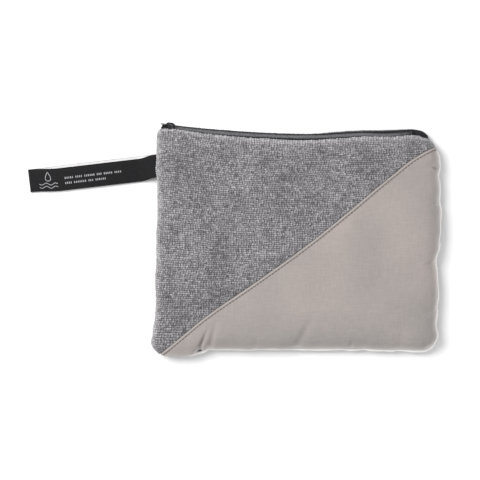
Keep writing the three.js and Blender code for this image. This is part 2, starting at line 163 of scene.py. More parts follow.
def grid_faces(rows, columns, first=0, closed_rows=False, closed_columns=False):
    """Faces between the points of a grid whose rows follow each other in the list of points."""
    i = np.arange(rows if closed_rows else rows - 1)[:, None]
    j = np.arange(columns if closed_columns else columns - 1)[None, :]
    i2, j2 = (i + 1) % rows, (j + 1) % columns
    corners = [i * columns + j, i * columns + j2, i2 * columns + j2, i2 * columns + j]
    return first + np.stack([np.broadcast_to(c, (len(i), j.size)) for c in corners], -1).reshape(-1, 4)


def tubes(lines, radius, sides=6):
    """Points and faces of round cords with tapered ends along lines, an array of lines x points x 3."""
    count, length, _ = lines.shape
    ahead = unit(np.gradient(lines, axis=1))
    side = unit(np.cross(np.array([0.0, 0.0, 1.0]), ahead))
    up = np.cross(ahead, side)
    turn = np.arange(sides) * 2 * math.pi / sides
    place = np.linspace(-1, 1, length)
    swell = np.sqrt(np.clip(1 - np.abs(place) ** 6, 0.02, 1)) * radius
    ring = side[:, :, None] * np.cos(turn)[:, None] + up[:, :, None] * np.sin(turn)[:, None]
    points = lines[:, :, None] + ring * swell[None, :, None, None]
    per_line = length * sides
    faces = [grid_faces(length, sides, n * per_line, closed_columns=True) for n in range(count)]
    caps = []
    for n in range(count):
        first = n * per_line
        last = first + per_line - sides
        caps += [(first, first + k + 1, first + k) for k in range(1, sides - 1)]
        caps += [(last, last + k, last + k + 1) for k in range(1, sides - 1)]
    return points.reshape(-1, 3), [np.concatenate(faces), np.array(caps)]


def along(points, spacing):
    """The points resampled to even steps along their line, and how far along each one is."""
    steps = np.linalg.norm(np.diff(points, axis=0), axis=1)
    travel = np.concatenate([[0], np.cumsum(steps)])
    wanted = np.linspace(0, travel[-1], max(2, int(round(travel[-1] / spacing)) + 1))
    return np.stack([np.interp(wanted, travel, points[:, k]) for k in range(points.shape[1])], 1), wanted


def stitch_lines(path, normals, stitch, space, rise, dip):
    """Short arcs along a path, for stitches that come up from the cloth and go down again."""
    even, travel = along(path, 0.1)
    steps = np.linalg.norm(np.diff(path, axis=0), axis=1)
    source = np.concatenate([[0], np.cumsum(steps)])
    up = unit(np.stack([np.interp(travel, source, normals[:, k]) for k in range(3)], 1))
    starts = np.arange(0.3, travel[-1] - stitch - 0.3, stitch + space)
    share = np.linspace(0, 1, 9)
    places = starts[:, None] + share * stitch
    at = lambda values: np.stack([np.interp(places, travel, values[:, k]) for k in range(3)], -1)
    lift = rise - (rise + dip) * np.abs(2 * share - 1) ** 3
    return at(even) + at(up) * lift[None, :, None]


def ridden(piece, body, slot, *nodes):
    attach(piece, body)
    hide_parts(*nodes)
    return piece


# ---- Materials ----


def linear(r, g, b):
    """A display colour from 0 to 255 as the linear colour that the shaders use."""
    convert = lambda c: c / 12.92 if c <= 0.04045 else ((c + 0.055) / 1.055) ** 2.4
    return tuple(convert(c / 255) for c in (r, g, b)) + (1.0,)


class Shader:
    """A material's nodes, with short calls for the ones used here."""

    def __init__(self, name, color, roughness, **sockets):
        self.material = bpy.data.materials.new(name)
        self.material.use_nodes = True
        self.nodes = self.material.node_tree.nodes
        self.links = self.material.node_tree.links
        self.surface = self.nodes["Principled BSDF"]
        self.surface.inputs["Base Color"].default_value = color
        self.surface.inputs["Roughness"].default_value = roughness
        for key, value in sockets.items():
            self.surface.inputs[key.replace("_", " ")].default_value = value
        self.material.diffuse_color = color

    def node(self, kind, inputs=None, **settings):
        made = self.nodes.new("ShaderNode" + kind)
        for key, value in settings.items():
            setattr(made, key, value)
        for key, value in (inputs or {}).items():
            self.feed(made.inputs[key], value)
        return made

    def feed(self, socket, value):
        if isinstance(value, bpy.types.NodeSocket):
            self.links.new(value, socket)
        else:
            socket.default_value = value

    def attribute(self, name):
        return self.node("Attribute", attribute_name=name).outputs["Fac"]

    def place(self):
        return self.node("TexCoord").outputs["Object"]

    def noise(self, size, detail=2.0, roughness=0.5, vector=None):
        inputs = {"Scale": 1 / (size * MM), "Detail": detail, "Roughness": roughness}
        inputs["Vector"] = vector or self.place()
        return self.node("TexNoise", inputs).outputs["Fac"]

    def streaks(self, length_x, length_y, length_z):
        """Noise drawn out by a length in millimetres along each axis."""
        scale = Vector((1 / length_x, 1 / length_y, 1 / length_z)) / MM
        stretched = self.node("VectorMath", {0: self.place(), 1: scale}, operation="MULTIPLY").outputs[0]
        return self.node("TexNoise", {"Vector": stretched, "Scale": 1.0, "Detail": 1.0}).outputs["Fac"]

    def math(self, operation, a, b=0.0):
        return self.node("Math", {0: a, 1: b}, operation=operation).outputs[0]

    def ramp(self, factor, *stops):
        made = self.node("ValToRGB", {"Fac": factor})
        elements = made.color_ramp.elements
        while len(elements) < len(stops):
            elements.new(0.5)
        for element, (position, color) in zip(elements, stops):
            element.position = position
            element.color = color
        return made.outputs["Color"]

    def mix(self, factor, a, b, blend="MIX"):
        made = self.node("Mix", data_type="RGBA", blend_type=blend)
        self.feed(made.inputs["Factor"], factor)
        self.feed(made.inputs["A"], a)
        self.feed(made.inputs["B"], b)
        return made.outputs["Result"]

    def color(self, value):
        self.feed(self.surface.inputs["Base Color"], value)

    def roughness(self, value):
        self.feed(self.surface.inputs["Roughness"], value)

    def bump(self, height, distance, strength=1.0):
        inputs = {"Height": height, "Distance": distance * MM, "Strength": strength}
        made = self.node("Bump", inputs)
        self.links.new(made.outputs["Normal"], self.surface.inputs["Normal"])


def grey(value):
    return (value, value, value, 1.0)


def terry_material(name, gap, mid, tip, rim):
    """Looped pile: painted shade between the loops and a painted highlight on their tips, set by the loops'
    height, in rows both ways, with cloudy patches, and a pale painted highlight that the 'rim' attribute
    mixes in.
    """
    made = Shader(name, mid, 0.95, Sheen_Weight=0.35, Sheen_Roughness=0.5, Specular_IOR_Level=0.1)
    pile = made.ramp(made.attribute("pile"), (0.0, gap), (0.4, mid), (0.9, tip))
    rows = made.math("ADD", made.streaks(2.6, 0.85, 0.85), made.streaks(0.85, 2.6, 0.85))
    evened = made.math("MULTIPLY", rows, 0.5)
    grain = made.ramp(evened, (0.37, grey(0.6)), (0.5, grey(1.0)), (0.62, grey(1.32)))
    patches = made.ramp(made.attribute("cloud"), (0.0, grey(0.76)), (1.0, grey(1.18)))
    color = made.mix(1.0, made.mix(1.0, pile, grain, "MULTIPLY"), patches, "MULTIPLY")
    made.color(made.mix(made.attribute("rim"), color, rim))
    made.bump(made.math("ADD", rows, made.streaks(0.7, 0.18, 0.3)), 0.2)
    return made.material


def smooth_material(name, dark, pale, rim):
    """A fine plain weave, with a slightly mottled yarn, painted shade from the 'shade' attribute, and a
    near-white painted highlight that the 'rim' attribute mixes in along the edges, the seam fold and the
    seam's roll.
    """
    made = Shader(name, pale, 0.85, Sheen_Weight=0.25, Sheen_Roughness=0.4, Specular_IOR_Level=0.2)
    place = made.node("SeparateXYZ", {"Vector": made.place()})
    pitch = 0.55 * MM
    across = made.math("SINE", made.math("MULTIPLY", place.outputs["X"], 2 * math.pi / pitch))
    upward = made.math("SINE", made.math("MULTIPLY", place.outputs["Y"], 2 * math.pi / pitch))
    weave = made.math("MULTIPLY", across, upward)
    slubs = made.math("ADD", made.streaks(9, 0.8, 0.8), made.streaks(0.8, 9, 0.8))
    mottle = made.ramp(made.math("MULTIPLY", slubs, 0.5), (0.36, dark), (0.64, pale))
    yarn = made.ramp(made.math("MULTIPLY_ADD", weave, 0.5), (0.0, grey(0.93)), (1.0, grey(1.03)))
    color = made.mix(1.0, mottle, yarn, "MULTIPLY")
    shade = made.ramp(made.attribute("shade"), (0.0, (0.83, 0.86, 0.86, 1)), (1.0, (1.12, 1.08, 1.07, 1)))
    color = made.mix(1.0, color, shade, "MULTIPLY")
    made.color(made.mix(made.attribute("rim"), color, rim))
    height = made.math("ADD", made.math("MULTIPLY", weave, 0.3), made.noise(0.8, 2.0))
    made.bump(height, 0.12, 0.8)
    return made.material


def tape_material():
    """A herringbone zip tape."""
    made = Shader("zip_tape_weave", linear(20, 20, 22), 0.85, Specular_IOR_Level=0.08)
    place = made.node("SeparateXYZ", {"Vector": made.place()})
    rib = made.math("SINE", made.math("MULTIPLY", place.outputs["X"], 2 * math.pi / (0.7 * MM)))
    cross = made.math("SINE", made.math("MULTIPLY", place.outputs["Y"], 2 * math.pi / (0.5 * MM)))
    height = made.math("MULTIPLY", rib, cross)
    tint = made.ramp(made.noise(1.5, 3.0), (0.3, linear(34, 34, 36)), (0.7, linear(52, 52, 55)))
    made.color(tint)
    made.bump(height, 0.1, 0.7)
    return made.material


def nylon_material():
    # The pale grey base colour of the dark nylon coil is a painted highlight for its gloss, added on top of
    # its real specular.
    made = Shader("coil_nylon_painted_highlight", linear(112, 112, 115), 0.42, Specular_IOR_Level=0.4)
    made.color(made.ramp(made.noise(2.0, 2.0), (0.3, linear(112, 112, 115)), (0.7, linear(140, 140, 143))))
    made.roughness(made.ramp(made.noise(0.6), (0.3, grey(0.3)), (0.7, grey(0.5))))
    return made.material


def metal_material():
    """Black-nickel plating, worn a little paler where it is handled."""
    made = Shader("black_nickel", linear(66, 66, 70), 0.32, Metallic=0.85)
    worn = made.ramp(made.noise(1.8, 4.0, 0.7), (0.45, linear(52, 52, 56)), (0.72, linear(104, 103, 103)))
    made.color(worn)
    made.roughness(made.ramp(made.noise(0.5, 3.0), (0.3, grey(0.25)), (0.7, grey(0.45))))
    made.bump(made.noise(0.25, 2.0), 0.03, 0.5)
    return made.material


def ribbon_material(name, dark, pale, roughness, sheen):
    """Satin ribbon, ribbed across its width."""
    made = Shader(name, pale, roughness, Sheen_Weight=sheen, Specular_IOR_Level=0.12)
    rib = made.math("SINE", made.math("MULTIPLY", made.attribute("length"), 2 * math.pi / 0.42))
    made.color(made.ramp(made.noise(3.0, 4.0, 0.6), (0.3, dark), (0.7, pale)))
    made.bump(rib, 0.04, 0.6)
    return made.material


def thread_material(name, dark, pale):
    """Sewing thread, with the twist of its plies."""
    made = Shader(name, pale, 0.7, Specular_IOR_Level=0.2)
    place = made.node("SeparateXYZ", {"Vector": made.place()})
    slant = made.math("ADD", place.outputs["X"], made.math("ADD", place.outputs["Y"], place.outputs["Z"]))
    ply = made.math("SINE", made.math("MULTIPLY", slant, 2 * math.pi / (0.35 * MM)))
    made.color(made.ramp(made.math("MULTIPLY_ADD", ply, 0.5), (0.0, dark), (1.0, pale)))
    made.bump(ply, 0.06, 0.8)
    return made.material


def print_material():
    """Matt white ink, worn thin in places."""
    made = Shader("grey_print", linear(165, 164, 166), 0.7, Specular_IOR_Level=0.2)
    made.color(made.ramp(made.noise(1.2, 3.0), (0.35, linear(140, 139, 141)), (0.65, linear(178, 177, 179))))
    made.bump(made.noise(0.4, 2.0), 0.02)
    return made.material


# Colours of each terry: painted shade between the loops, the cloth's own grey, a painted highlight on the
# loop tips, and the pale painted highlight for edges and hem.
TERRY = terry_material(
    "grey_terry", linear(58, 57, 59), linear(130, 128, 130), linear(168, 166, 168), linear(200, 198, 200)
)
TOWEL = terry_material(
    "towel_terry", linear(86, 85, 87), linear(144, 142, 144), linear(180, 178, 180), linear(180, 178, 180)
)
# The last colour is the near-white painted highlight on the smooth panel's edges and seam roll.
SMOOTH = smooth_material("taupe_weave", linear(154, 147, 144), linear(163, 155, 152), linear(250, 247, 245))
TAPE = tape_material()
NYLON = nylon_material()
METAL = metal_material()
SATIN = ribbon_material("black_satin", linear(17, 16, 18), linear(25, 24, 26), 0.45, 0.0)
SATIN_INSIDE = ribbon_material("white_satin", linear(214, 213, 213), linear(226, 225, 225), 0.6, 0.2)
PRINT = print_material()
TAUPE_THREAD = thread_material("taupe_thread", linear(98, 92, 89), linear(130, 123, 119))
GREY_THREAD = thread_material("grey_thread", linear(92, 91, 93), linear(130, 128, 131))
BLACK_THREAD = thread_material("black_thread", linear(16, 16, 18), linear(34, 34, 36))

# ---- The zip's line ----


def zip_angle(x):
    return np.arcsin((x - ZIP_LOWEST_X) / ZIP_RADIUS)


def zip_return(x):
    """Where the chain comes back to its sewn arc, before its closed end: 1 from there on."""
    return smoothstep(x, 52, 75)


def zip_place(angle, out, z):
    """`out` is how far a point is from the chain's middle, away from the pouch, and `z` its height."""
    radius = ZIP_RADIUS - out
    x = ZIP_LOWEST_X + radius * np.sin(angle)
    rise = ZIP_RISE * smoothstep(x, 0, 60) * (1 - zip_return(x))
    y = ZIP_LOWEST_Y + ZIP_RADIUS - radius * np.cos(angle) + rise
    return np.stack(np.broadcast_arrays(x, y, z), -1)


def on_face(across, proud):
    """Across runs from the chain's middle to the front panel, and proud out of the zip's face."""
    out = proud * math.cos(ZIP_LEAN) - across * math.sin(ZIP_LEAN)
    z = ZIP_HEIGHT + proud * math.sin(ZIP_LEAN) + across * math.cos(ZIP_LEAN)
    return out, z


def corner_pull(gap_x, gap_y, corner):
    """How far a point near a square corner moves in along X and Y to make the corner round."""
    near_x, near_y = np.clip(1 - gap_x / corner, 0, 1), np.clip(1 - gap_y / corner, 0, 1)
    pull_x = corner * near_x * (1 - np.sqrt(1 - near_y**2 / 2))
    pull_y = corner * near_y * (1 - np.sqrt(1 - near_x**2 / 2))
    return pull_x, pull_y


def zip_share(x):
    """How much of the top edge's place belongs to the zip: 1 along the tapes, 0 at the side seams."""
    return smoothstep(x, LEFT, ZIP_LEFT - 1.6) * (1 - smoothstep(x, ZIP_SEWN_RIGHT, RIGHT))


def zip_spread(x):
    """How flat the zip lies: 1 in the middle, and 0 where it stands up at the ends."""
    return smoothstep(x, -116, -55) * (1 - 0.5 * smoothstep(x, 40, 105))


def zip_sweep(narrow, spread, start, end, step):
    """A grid of points: a section of (across, proud) points swept along the zip.

    The section goes from `narrow` at the ends to `spread` in the middle. Past the chain's ends the zip
    bends in and down with the pouch's corners."""
    x = np.linspace(start, end, int((end - start) / step) + 1)[:, None]
    share = zip_spread(x)
    across = narrow[:, 0] + (spread[:, 0] - narrow[:, 0]) * share
    proud = narrow[:, 1] + (spread[:, 1] - narrow[:, 1]) * share
    out, z = on_face(across, proud)
    out = out + FAR_TAPE_REACH * zip_return(x) * smoothstep(-across, 2.8, 4.0)
    sewn = 1 - zip_share(x)
    points = zip_place(zip_angle(x), out * (1 - 0.6 * sewn), z + (SEAM_HEIGHT - z) * 0.8 * sewn)
    left_x, left_y = corner_pull(x - LEFT, 0, CORNERS["top_left"])
    right_x, right_y = corner_pull(RIGHT - x, 0, CORNERS["top_right"])
    points[..., 0] += left_x - right_x
    points[..., 1] -= left_y + right_y
    return points


# ---- The pouch's surface ----


def tape_shown(x):
    """How far from the chain's middle the front panel's edge lies."""
    return 3.9 + 1.6 * zip_spread(x) + 1.2 * np.exp(-(((x + 15) / 28) ** 2))


def outline_shift(x, y):
    """How far the sewn outline strays from its cut shape, near each side."""
    left = eased(
        y,
        [(-97, -4.6), (-88, -5.4), (-80, -3.6), (-66, -1.4), (-52, -0.6), (-38, -1.4), (-14, -0.3),
         (3, -0.5),
         (20, 0.8), (46, 0.5), (66, -0.5), (92, 0)],
    )
    right = eased(
        y,
        [(-97, -5.0), (-84, -3.4), (-74, -4.8), (-60, -3.8), (-46, -2.2), (-30, -3.4), (-18, -5), (-6, -2),
         (10, -0.5), (24, -0.6), (34, -1.8), (42, -1.2), (56, -2.4), (64, -1), (74, -1.4), (95, 0)],
    )
    low = eased(
        x,
        [(-124, -3.4), (-114, -3.8), (-104, -4.0), (-96, -3.2), (-88, -0.9), (-79, 2.6), (-50, 2.2),
         (-23, 2.7),
         (-17, 1.9), (0, 2.2), (30, 2.3), (48, 1.8), (56, 2.3), (80, 1.5), (112, 1.0)],
    )
    dx = left * (1 - smoothstep(x - LEFT, 0, 35)) + right * (1 - smoothstep(RIGHT - x, 0, 30))
    dy = low * (1 - smoothstep(y - BOTTOM, 0, 25))
    return dx, dy


def round_edge(distance, reach, fullness=2.0):
    return (1 - (1 - np.clip(distance / reach, 0, 1)) ** fullness) ** (1 / fullness)


def soft_edge(distance, reach):
    return 1 - (1 - np.clip(distance / reach, 0, 1)) ** 2


def pouch_point(front, u, v):
    """A point of the front or the back: u from the left side to the right, v from the bottom to the zip."""
    half_x = (RIGHT - LEFT) / 2
    x = (RIGHT + LEFT) / 2 + half_x * u
    share = zip_share(x)
    if front:
        out, edge_z = on_face(tape_shown(x) - zip_return(x), 1.1)
    else:
        pushed = smoothstep(x, 5, 35) * (1 - smoothstep(x, 70, 112))
        out = BACK_EDGE_OUT - 0.5 * (1 - zip_spread(x)) + pushed
        out = out + BACK_EDGE_REACH * zip_return(x)
        edge_z = BACK_EDGE_Z
    top = zip_place(zip_angle(x), out * share, 0)[..., 1]
    half_y = (top - BOTTOM) / 2
    y = (top + BOTTOM) / 2 + half_y * v
    gap_x, gap_y = half_x * (1 - np.abs(u)), half_y * (1 - np.abs(v))
    corner = np.where(v < 0, CORNERS["bottom"], np.where(u < 0, CORNERS["top_left"], CORNERS["top_right"]))
    pull_x, pull_y = corner_pull(gap_x, gap_y, corner)
    seam_z = SEAM_HEIGHT + (SEAM_PARTING if front else -SEAM_PARTING)
    rim = seam_z + (edge_z - seam_z) * share * smoothstep(v, 0.4, 1)
    full = HEIGHT if front else 0.0
    side_reach = FRONT_CURVE if front else BACK_CURVE
    fullness = FRONT_FULLNESS if front else BACK_FULLNESS
    zip_reach = FRONT_ZIP_CURVE if front else BACK_ZIP_CURVE + (1 - share) * 8
    zip_edge = soft_edge(gap_y, zip_reach) if front else round_edge(gap_y, zip_reach)
    low_edge = round_edge(gap_y, side_reach, fullness)
    rise = round_edge(gap_x, side_reach, fullness) * np.where(v < 0, low_edge, zip_edge)
    z = rim + (full - rim) * rise
    x = x - np.sign(u) * pull_x
    y = y - np.sign(v) * pull_y
    dx, dy = outline_shift(x, y)
    valley = SEAM_VALLEY * (1 - smoothstep(np.abs(z - SEAM_HEIGHT), 0, 1.8))
    at_side = np.where(gap_x < gap_y, 1.0, 0.0)
    open_zip = share * (v > 0.9)
    notch = NOTCH_DEPTH * np.exp(-(((x - NOTCH_X) / 2.4) ** 2)) * (1 - smoothstep(gap_y, 0, 7)) * (v < 0)
    x = x + dx - np.sign(u) * valley * at_side
    y = y + dy - np.sign(v) * valley * (1 - at_side) * (1 - open_zip) + (notch if front else 0)
    return np.stack([x, y, z], -1)


HEM_RADIUS = 0.5  # of the roll that turns each panel's edge under, along the zip
HEM_TURNS = np.radians([30, 60, 90, 120, 150, 180])
HEM_ROWS = len(HEM_TURNS) + 1


def rim_steps(reach, rise, step, fullness):
    """Distances in from a rounded rim that are even along the cloth."""
    distance = reach * np.linspace(0, 1, 3000) ** 3
    height = rise * round_edge(distance, reach, fullness)
    travel = np.concatenate([[0], np.cumsum(np.hypot(np.diff(distance), np.diff(height)))])
    return np.interp(np.linspace(0, travel[-1], int(round(travel[-1] / step)) + 1), travel, distance)


class Panel:
    """The front or the back of the pouch as a grid of points, with its seam allowances turned in."""

    def __init__(self, front, step_x, step_y):
        self.front = front
        reach, fullness = (FRONT_CURVE, FRONT_FULLNESS) if front else (BACK_CURVE, BACK_FULLNESS)
        rise = HEIGHT - SEAM_HEIGHT if front else SEAM_HEIGHT
        width, depth = RIGHT - LEFT, ZIP_LOWEST_Y - BOTTOM
        rim = rim_steps(reach, rise, step_x, fullness)
        middle = np.arange(1, int((width - 2 * reach) / step_x)) * step_x + reach
        columns = np.concatenate([rim, middle, width - rim[::-1]])
        rim = rim_steps(reach, rise, step_y, fullness)
        zip_reach = FRONT_ZIP_CURVE if front else BACK_ZIP_CURVE
        middle = np.arange(1, int((depth - reach - zip_reach) / step_y)) * step_y + reach
        top = np.linspace(0, zip_reach, int(zip_reach * 1.2 / step_y)) if front else rim_steps(
            zip_reach, rise - BACK_EDGE_Z, step_y, 2.0
        )
        rows = np.concatenate([rim, middle, depth - top[::-1]])
        tucks = np.linspace(TUCK, 0, 5)[:-1]
        self.u = np.concatenate([np.full(4, -1.0), 2 * columns / width - 1, np.full(4, 1.0)])
        self.v = np.concatenate([np.full(4, -1.0), 2 * rows / depth - 1])
        self.tuck_x = np.concatenate([tucks, np.zeros(len(columns)), -tucks[::-1]])
        self.tuck_y = np.concatenate([tucks, np.zeros(len(rows))])
        self.u, self.v = np.meshgrid(self.u, self.v)
        self.inside = (self.tuck_x[None, :] != 0) | (self.tuck_y[:, None] != 0)

    def points(self):
        """The smooth surface with its hem along the zip, which way it faces, and where it can be rough."""
        base = pouch_point(self.front, self.u, self.v)
        base[..., 0] += self.tuck_x[None, :]
        base[..., 1] += self.tuck_y[:, None]
        toward_seam = (SEAM_HEIGHT - base[..., 2]) * 0.8
        base[..., 2] += np.where(self.inside & (self.v < 0.5), toward_seam, 0)
        edge, ahead = base[-1], unit(base[-1] - base[-4])
        outward = unit(np.cross(np.gradient(edge, axis=0), ahead)) * (1 if self.front else -1)
        radius, reach = HEM_RADIUS, 2.5
        hem = [edge + ahead * radius * math.sin(t) - outward * radius * (1 - math.cos(t)) for t in HEM_TURNS]
        hem.append(hem[-1] - ahead * reach)
        base = np.concatenate([base, np.stack(hem)])
        facing = unit(np.cross(np.gradient(base, axis=1), np.gradient(base, axis=0)))
        if not self.front:
            facing = -facing
        free = np.where(self.inside, 0.0, 1.0)
        free = np.concatenate([free, np.outer(np.cos(np.append(HEM_TURNS, math.pi) / 2), free[-1])])
        return base, facing, free


# ---- Cloth textures ----


def terry_loops(rows, columns, cells, seed):
    """Height from 0 to 1 of terry loops, in rows along X, each on a patch of `cells` by `cells` faces."""
    row, column = np.meshgrid(np.arange(rows), np.arange(columns), indexing="ij")
    i, j = column // cells, row // cells
    dome_x = np.sin(math.pi * (column % cells) / cells) ** 0.7
    dome_y = np.sin(math.pi * (row % cells) / cells) ** 0.7
    in_row, in_column = clouds(i * 1.0, j * 8.0, 2.6, seed), clouds(i * 8.0, j * 1.0, 2.0, seed + 1)
    height = 0.68 + 0.16 * in_row + 0.12 * in_column + 0.5 * (scattered(i, j, seed + 2) - 0.5)
    gap_x, gap_y = scattered(i, j, seed + 3), scattered(i, j, seed + 4)
    between = 0.6 * gap_x + (1 - 0.6 * gap_x) * dome_x
    between = between * (0.4 * gap_y + (1 - 0.4 * gap_y) * dome_y)
    return np.clip(height, 0.2, 1.0) * between


def stray(points, free, seed, cells, pitch):
    """Moves points along the cloth, so that each row starts at its own place and the rows wander."""
    x, y = points[..., 0], points[..., 1]
    row = np.arange(len(points))
    share = np.abs(row % cells / cells - 0.5) * 2
    here, below = row // cells, (row - cells // 2) // cells
    offset = scattered(here, here * 0, seed + 6) - 0.5
    other = scattered(np.where(here == below, here + 1, below), here * 0, seed + 6) - 0.5
    offset = (offset * (1 - share**2 / 2) + other * share**2 / 2)[:, None] * pitch
    shift_x = offset + 0.5 * clouds(x, y, 13, seed) + 0.45 * clouds(x, y, 2.3, seed + 1)
    shift_y = 0.6 * clouds(x, y, 11, seed + 2) + 0.4 * clouds(x, y, 2.6, seed + 3)
    ahead_x, ahead_y = unit(np.gradient(points, axis=1)), unit(np.gradient(points, axis=0))
    return points + ahead_x * (shift_x * free)[..., None] + ahead_y * (shift_y * free)[..., None]


def crease(x, y, start, end, width, depth):
    """A furrow between two points, which fades out at the second one."""
    (x0, y0), (x1, y1) = start, end
    length = math.hypot(x1 - x0, y1 - y0)
    ux, uy = (x1 - x0) / length, (y1 - y0) / length
    travel = ((x - x0) * ux + (y - y0) * uy) / length
    aside = (x - x0) * uy - (y - y0) * ux
    fade = smoothstep(travel, -0.15, 0.1) * (1 - smoothstep(travel, 0.3, 1.05))
    return -depth * fade * np.exp(-((aside / width) ** 2))


CREASES = [
    ((-90, -99), (-79, -75), 1.6, 3.0),
    ((-79, -96), (-72, -68), 2.4, 1.5),
    ((-4, -95), (14, -60), 3.4, 1.5),
    ((43, -97), (46, -84), 2.0, 1.0),
    ((113, -96), (104, -82), 2.5, 1.0),
    ((124, 59), (112, 64), 0.9, 2.6),
    ((120, 70), (104, 58), 3.0, 0.7),
    ((124, 33), (114, 31), 1.2, 1.6),
    ((121, -19), (106, -22), 2.2, 1.3),
    ((122, -48), (113, -50), 1.3, 1.2),
    ((120, -60), (100, -66), 3.0, 0.8),
    ((84, -97), (90, -70), 4.0, 0.7),
    ((-40, -96), (-36, -80), 3.0, 0.6),
]


def undulation(x, y):
    """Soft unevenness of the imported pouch: broad swells, ripples near the seams and single creases."""
    swell = 1.0 * clouds(x, y, 46, 3) + 0.55 * clouds(x, y, 21, 4)
    from_side = np.minimum(np.minimum(x - LEFT, RIGHT - x), y - BOTTOM)
    ripple = 0.5 * clouds(x, y, 9, 5) * (1 - smoothstep(from_side, 4, 22))
    total = swell + ripple
    for start, end, width, depth in CREASES:
        total = total + crease(x, y, start, end, width, depth)
    return total


# ---- The diagonal seam ----

SEAM_X, SEAM_Y = np.array(DIAGONAL).T
SEAM_SLOPES = np.gradient(SEAM_X, SEAM_Y)


def seam_x(y):
    """X of the diagonal seam at each y: a smooth curve through its points, and straight past its ends."""
    held = np.clip(y, SEAM_Y[0], SEAM_Y[-1])
    k = np.clip(np.searchsorted(SEAM_Y, held) - 1, 0, len(SEAM_Y) - 2)
    span = SEAM_Y[k + 1] - SEAM_Y[k]
    t = (held - SEAM_Y[k]) / span
    x = SEAM_X[k] * (2 * t**3 - 3 * t**2 + 1) + SEAM_X[k + 1] * (3 * t**2 - 2 * t**3)
    x = x + span * (SEAM_SLOPES[k] * (t**3 - 2 * t**2 + t) + SEAM_SLOPES[k + 1] * (t**3 - t**2))
    return x + (y - held) * np.where(y < 0, SEAM_SLOPES[0], SEAM_SLOPES[-1])


def beyond_seam(points):
    """Distance from the diagonal seam, positive on the smooth panel's side."""
    x, y = points[..., 0], points[..., 1]
    slope = seam_x(y + 0.5) - seam_x(y - 0.5)
    return (x - seam_x(y)) / np.sqrt(1 + slope**2)


def split_columns(panel):
    """Moves one point of each row on to the diagonal seam, and returns that point's column."""
    beyond = beyond_seam(pouch_point(True, panel.u, panel.v))
    rows, columns = panel.u.shape
    cut = np.full(rows, columns - 1)
    for row in range(rows):
        past = np.nonzero(beyond[row] >= 0)[0]
        if len(past) and past[0] > 4:
            k = past[0]
            share = -beyond[row, k - 1] / max(beyond[row, k] - beyond[row, k - 1], 1e-6)
            place = panel.u[row, k - 1] + share * (panel.u[row, k] - panel.u[row, k - 1])
            cut[row] = k if share > 0.5 else k - 1
            panel.u[row, cut[row]] = place
    return np.maximum.accumulate(cut)


def split_faces(panel, cut, extra_rows):
    """Faces of the two front panels, on either side of the diagonal seam."""
    rows, columns = panel.u.shape
    cut = np.concatenate([cut, np.full(extra_rows, columns - 1)])
    at = lambda row, column: row * columns + column
    column = np.arange(columns - 1)
    terry, smooth, terry_ends, smooth_ends = [], [], [], []
    for row in range(rows + extra_rows - 1):
        low, high = cut[row], cut[row + 1]
        near, far = at(row, column), at(row + 1, column)
        square = np.stack([near, near + 1, far + 1, far], 1)
        terry.append(square[:low])
        smooth.append(square[high:])
        between = np.arange(low, high)
        ones = np.ones(len(between), int)
        terry_ends.append(np.stack([ones * at(row, low), at(row + 1, between + 1), at(row + 1, between)], 1))
        smooth_ends.append(np.stack([at(row, between), at(row, between + 1), ones * at(row + 1, high)], 1))
    join = np.concatenate
    return [join(terry), join(terry_ends)], [join(smooth), join(smooth_ends)]


def used_only(points, faces, attributes):
    """Drops the points that no face uses."""
    used = np.unique(np.concatenate([f.ravel() for f in faces]))
    renumber = np.zeros(len(points), int)
    renumber[used] = np.arange(len(used))
    kept = {key: values.ravel()[used] for key, values in attributes.items()}
    return points[used], [renumber[f] for f in faces], kept


front = Panel(True, 0.55, 0.44)
cut = split_columns(front)
base, facing, free = front.points()


def on_front(u, v, aside, lift):
    """Points beside a line on the front's smooth surface, `aside` along the cloth and `lift` above it."""
    small = 1e-4
    here = pouch_point(True, u, v)
    du = (pouch_point(True, u + small, v) - pouch_point(True, u - small, v)) / (2 * small)
    dv = (pouch_point(True, u, v + small) - pouch_point(True, u, v - small)) / (2 * small)
    up = unit(np.cross(du, dv))
    ahead = unit(np.gradient(here, axis=0))
    side = unit(np.cross(ahead, up))
    metric = np.stack([np.sum(du * du, -1), np.sum(du * dv, -1), np.sum(dv * dv, -1)])
    wanted = np.stack([np.sum(side * du, -1), np.sum(side * dv, -1)])
    determinant = np.maximum(metric[0] * metric[2] - metric[1] ** 2, 1e-6)
    step_u = (metric[2] * wanted[0] - metric[1] * wanted[1]) / determinant
    step_v = (metric[0] * wanted[1] - metric[1] * wanted[0]) / determinant
    grid_u = np.clip(u[:, None] + step_u[:, None] * aside[None], -1, 1)
    grid_v = np.clip(v[:, None] + step_v[:, None] * aside[None], -1, 1)
    surface = pouch_point(True, grid_u, grid_v)
    surface[..., 2] += undulation(surface[..., 0], surface[..., 1]) * calm(surface)
    return surface + up[:, None] * lift[None, :, None], up


def calm(points):
    """Undulation fades out at the side seams, where the cloth is held, and at the zip."""
    height = points[..., 2]
    return smoothstep(height, SEAM_HEIGHT + 1, SEAM_HEIGHT + 6)


def seam_path():
    """The diagonal seam as u and v places, close together along the cloth."""
    rows = np.nonzero((cut < front.u.shape[1] - 5) & (front.tuck_y == 0))[0]
    u = np.array([front.u[row, cut[row]] for row in rows] + [1.0])
    v = np.array([front.v[row, 0] for row in rows] + [front.v[rows[-1] + 3, 0]])
    dense_u = np.interp(np.linspace(0, len(u) - 1, 4000), np.arange(len(u)), u)
    dense_v = np.interp(np.linspace(0, len(v) - 1, 4000), np.arange(len(v)), v)
    points = pouch_point(True, dense_u, dense_v)
    travel = np.concatenate([[0], np.cumsum(np.linalg.norm(np.diff(points, axis=0), axis=1))])
    even = np.linspace(0, travel[-1], int(travel[-1] / 0.8))
    return np.interp(even, travel, dense_u), np.interp(even, travel, dense_v)


